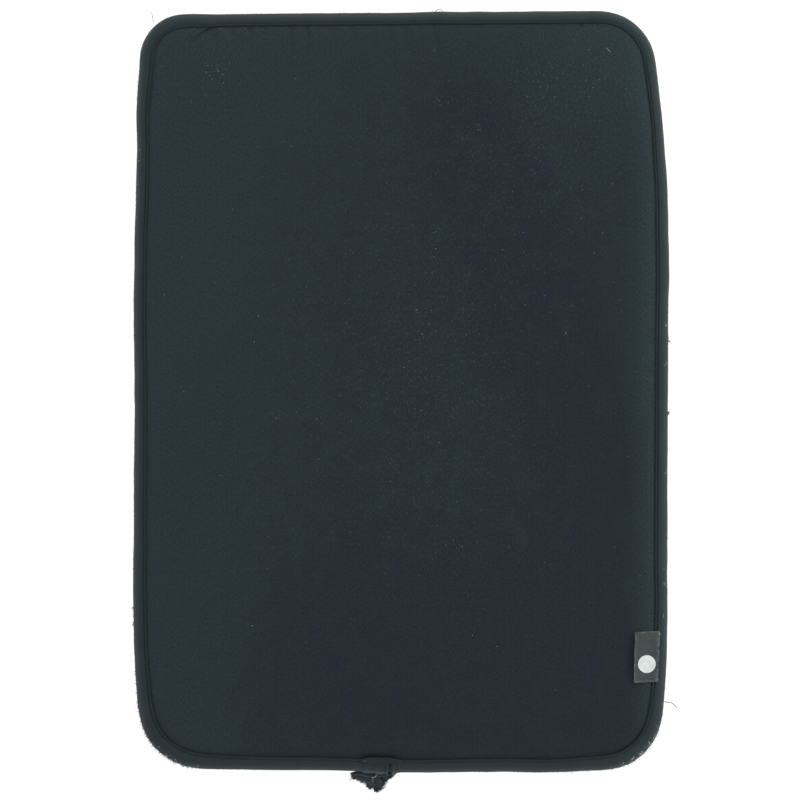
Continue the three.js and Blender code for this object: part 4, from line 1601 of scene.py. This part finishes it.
def add_threads():
    """A loose thread outside the right edge, a small loop below it and two longer hairs."""
    threads = (
        ("thread_right", 0.21, FUZZ, (
            (134.0, -157.6, 22), (135.4, -158.1, 22.2), (137.2, -158.0, 22.0),
            (138.6, -159.0, 21.6), (140.6, -161.2, 21.0),
        )),
        ("thread_loop", 0.07, LINT, (
            (132.0, -170.5, 25), (133.0, -172.6, 25.4), (132.0, -173.4, 25.2), (131.2, -171.6, 24.8),
        )),
        ("thread_corner", 0.14, FUZZ, (
            (-126.4, 192.3, 24), (-126.0, 190.2, 24.4), (-125.7, 188.6, 24.6), (-125.3, 186.9, 24.4),
        )),
        ("thread_top", 0.16, FUZZ, (
            (17.6, 192.4, 25), (19.2, 193.6, 25.5), (20.6, 193.2, 25.4), (21.4, 192.6, 25),
        )),
    )
    for name, radius, material, knots in threads:
        t = np.linspace(0, 1, 4 * len(knots))
        path = read_line(t, np.linspace(0, 1, len(knots)), np.array(knots))
        path = (np.vstack([path[:1], path[:-1]]) + path + np.vstack([path[1:], path[-1:]])) / 3
        keep_on(strand(name, path, radius, 6, material), "body", "knit_band")


# ---- floor, lights and world -------------------------------------------------------------

def add_stage():
    mesh = bpy.data.meshes.new("floor")
    half, drop = 4.0, -0.0002
    corners = [(x * half, y * half, drop) for x, y in ((-1, -1), (1, -1), (1, 1), (-1, 1))]
    mesh.from_pydata(corners, [], [(0, 1, 2, 3)])
    floor = bpy.data.objects.new("floor", mesh)
    shader = Shader(
        "floor_paper", Roughness=0.9, Specular_IOR_Level=0.1, Base_Color=(0.3, 0.3, 0.3, 1),
        Emission_Color=(1, 1, 1, 1), Emission_Strength=0.9,
    )
    mesh.materials.append(shader.material)
    bpy.context.scene.collection.objects.link(floor)


def add_light(name, place, size, power):
    """A square area light that faces the origin."""
    data = bpy.data.lights.new(name, "AREA")
    data.shape = "SQUARE"
    data.size = size
    data.energy = power
    light = bpy.data.objects.new(name, data)
    light.location = place
    light.rotation_euler = (-Vector(place)).to_track_quat("-Z", "Y").to_euler()
    bpy.context.scene.collection.objects.link(light)


def add_lighting():
    world = bpy.data.worlds.new("studio")
    world.use_nodes = True
    background = world.node_tree.nodes["Background"]
    background.inputs["Color"].default_value = (1, 1, 1, 1)
    background.inputs["Strength"].default_value = 0.78
    bpy.context.scene.world = world
    add_light("key", (0.1, 1.3, 1.4), 0.8, 12)
    add_light("side", (1.4, -0.1, 0.9), 0.6, 8)
    bpy.context.scene.view_settings.view_transform = "Standard"


add_stage()
add_lighting()
add_front_panel()
add_back_panel()
add_linings()
add_bands()
add_piping()
add_bindings()
add_zip()
finish_metal()
add_garage()
add_pull()
add_label()
add_band_fuzz()
add_tufts("dark_tufts", DARK_TUFTS, 0.6, 6.0, 0.9, 0.085, FUZZ, 61)
add_tufts("snags", SNAGS, 0.6, 4.0, 1.5, 0.14, FUZZ, 63)
add_tufts("pale_tufts", PALE_TUFTS, 3.5, 8.5, 0.9, 0.1, LINT, 62)
add_lint()
add_hair()
add_threads()
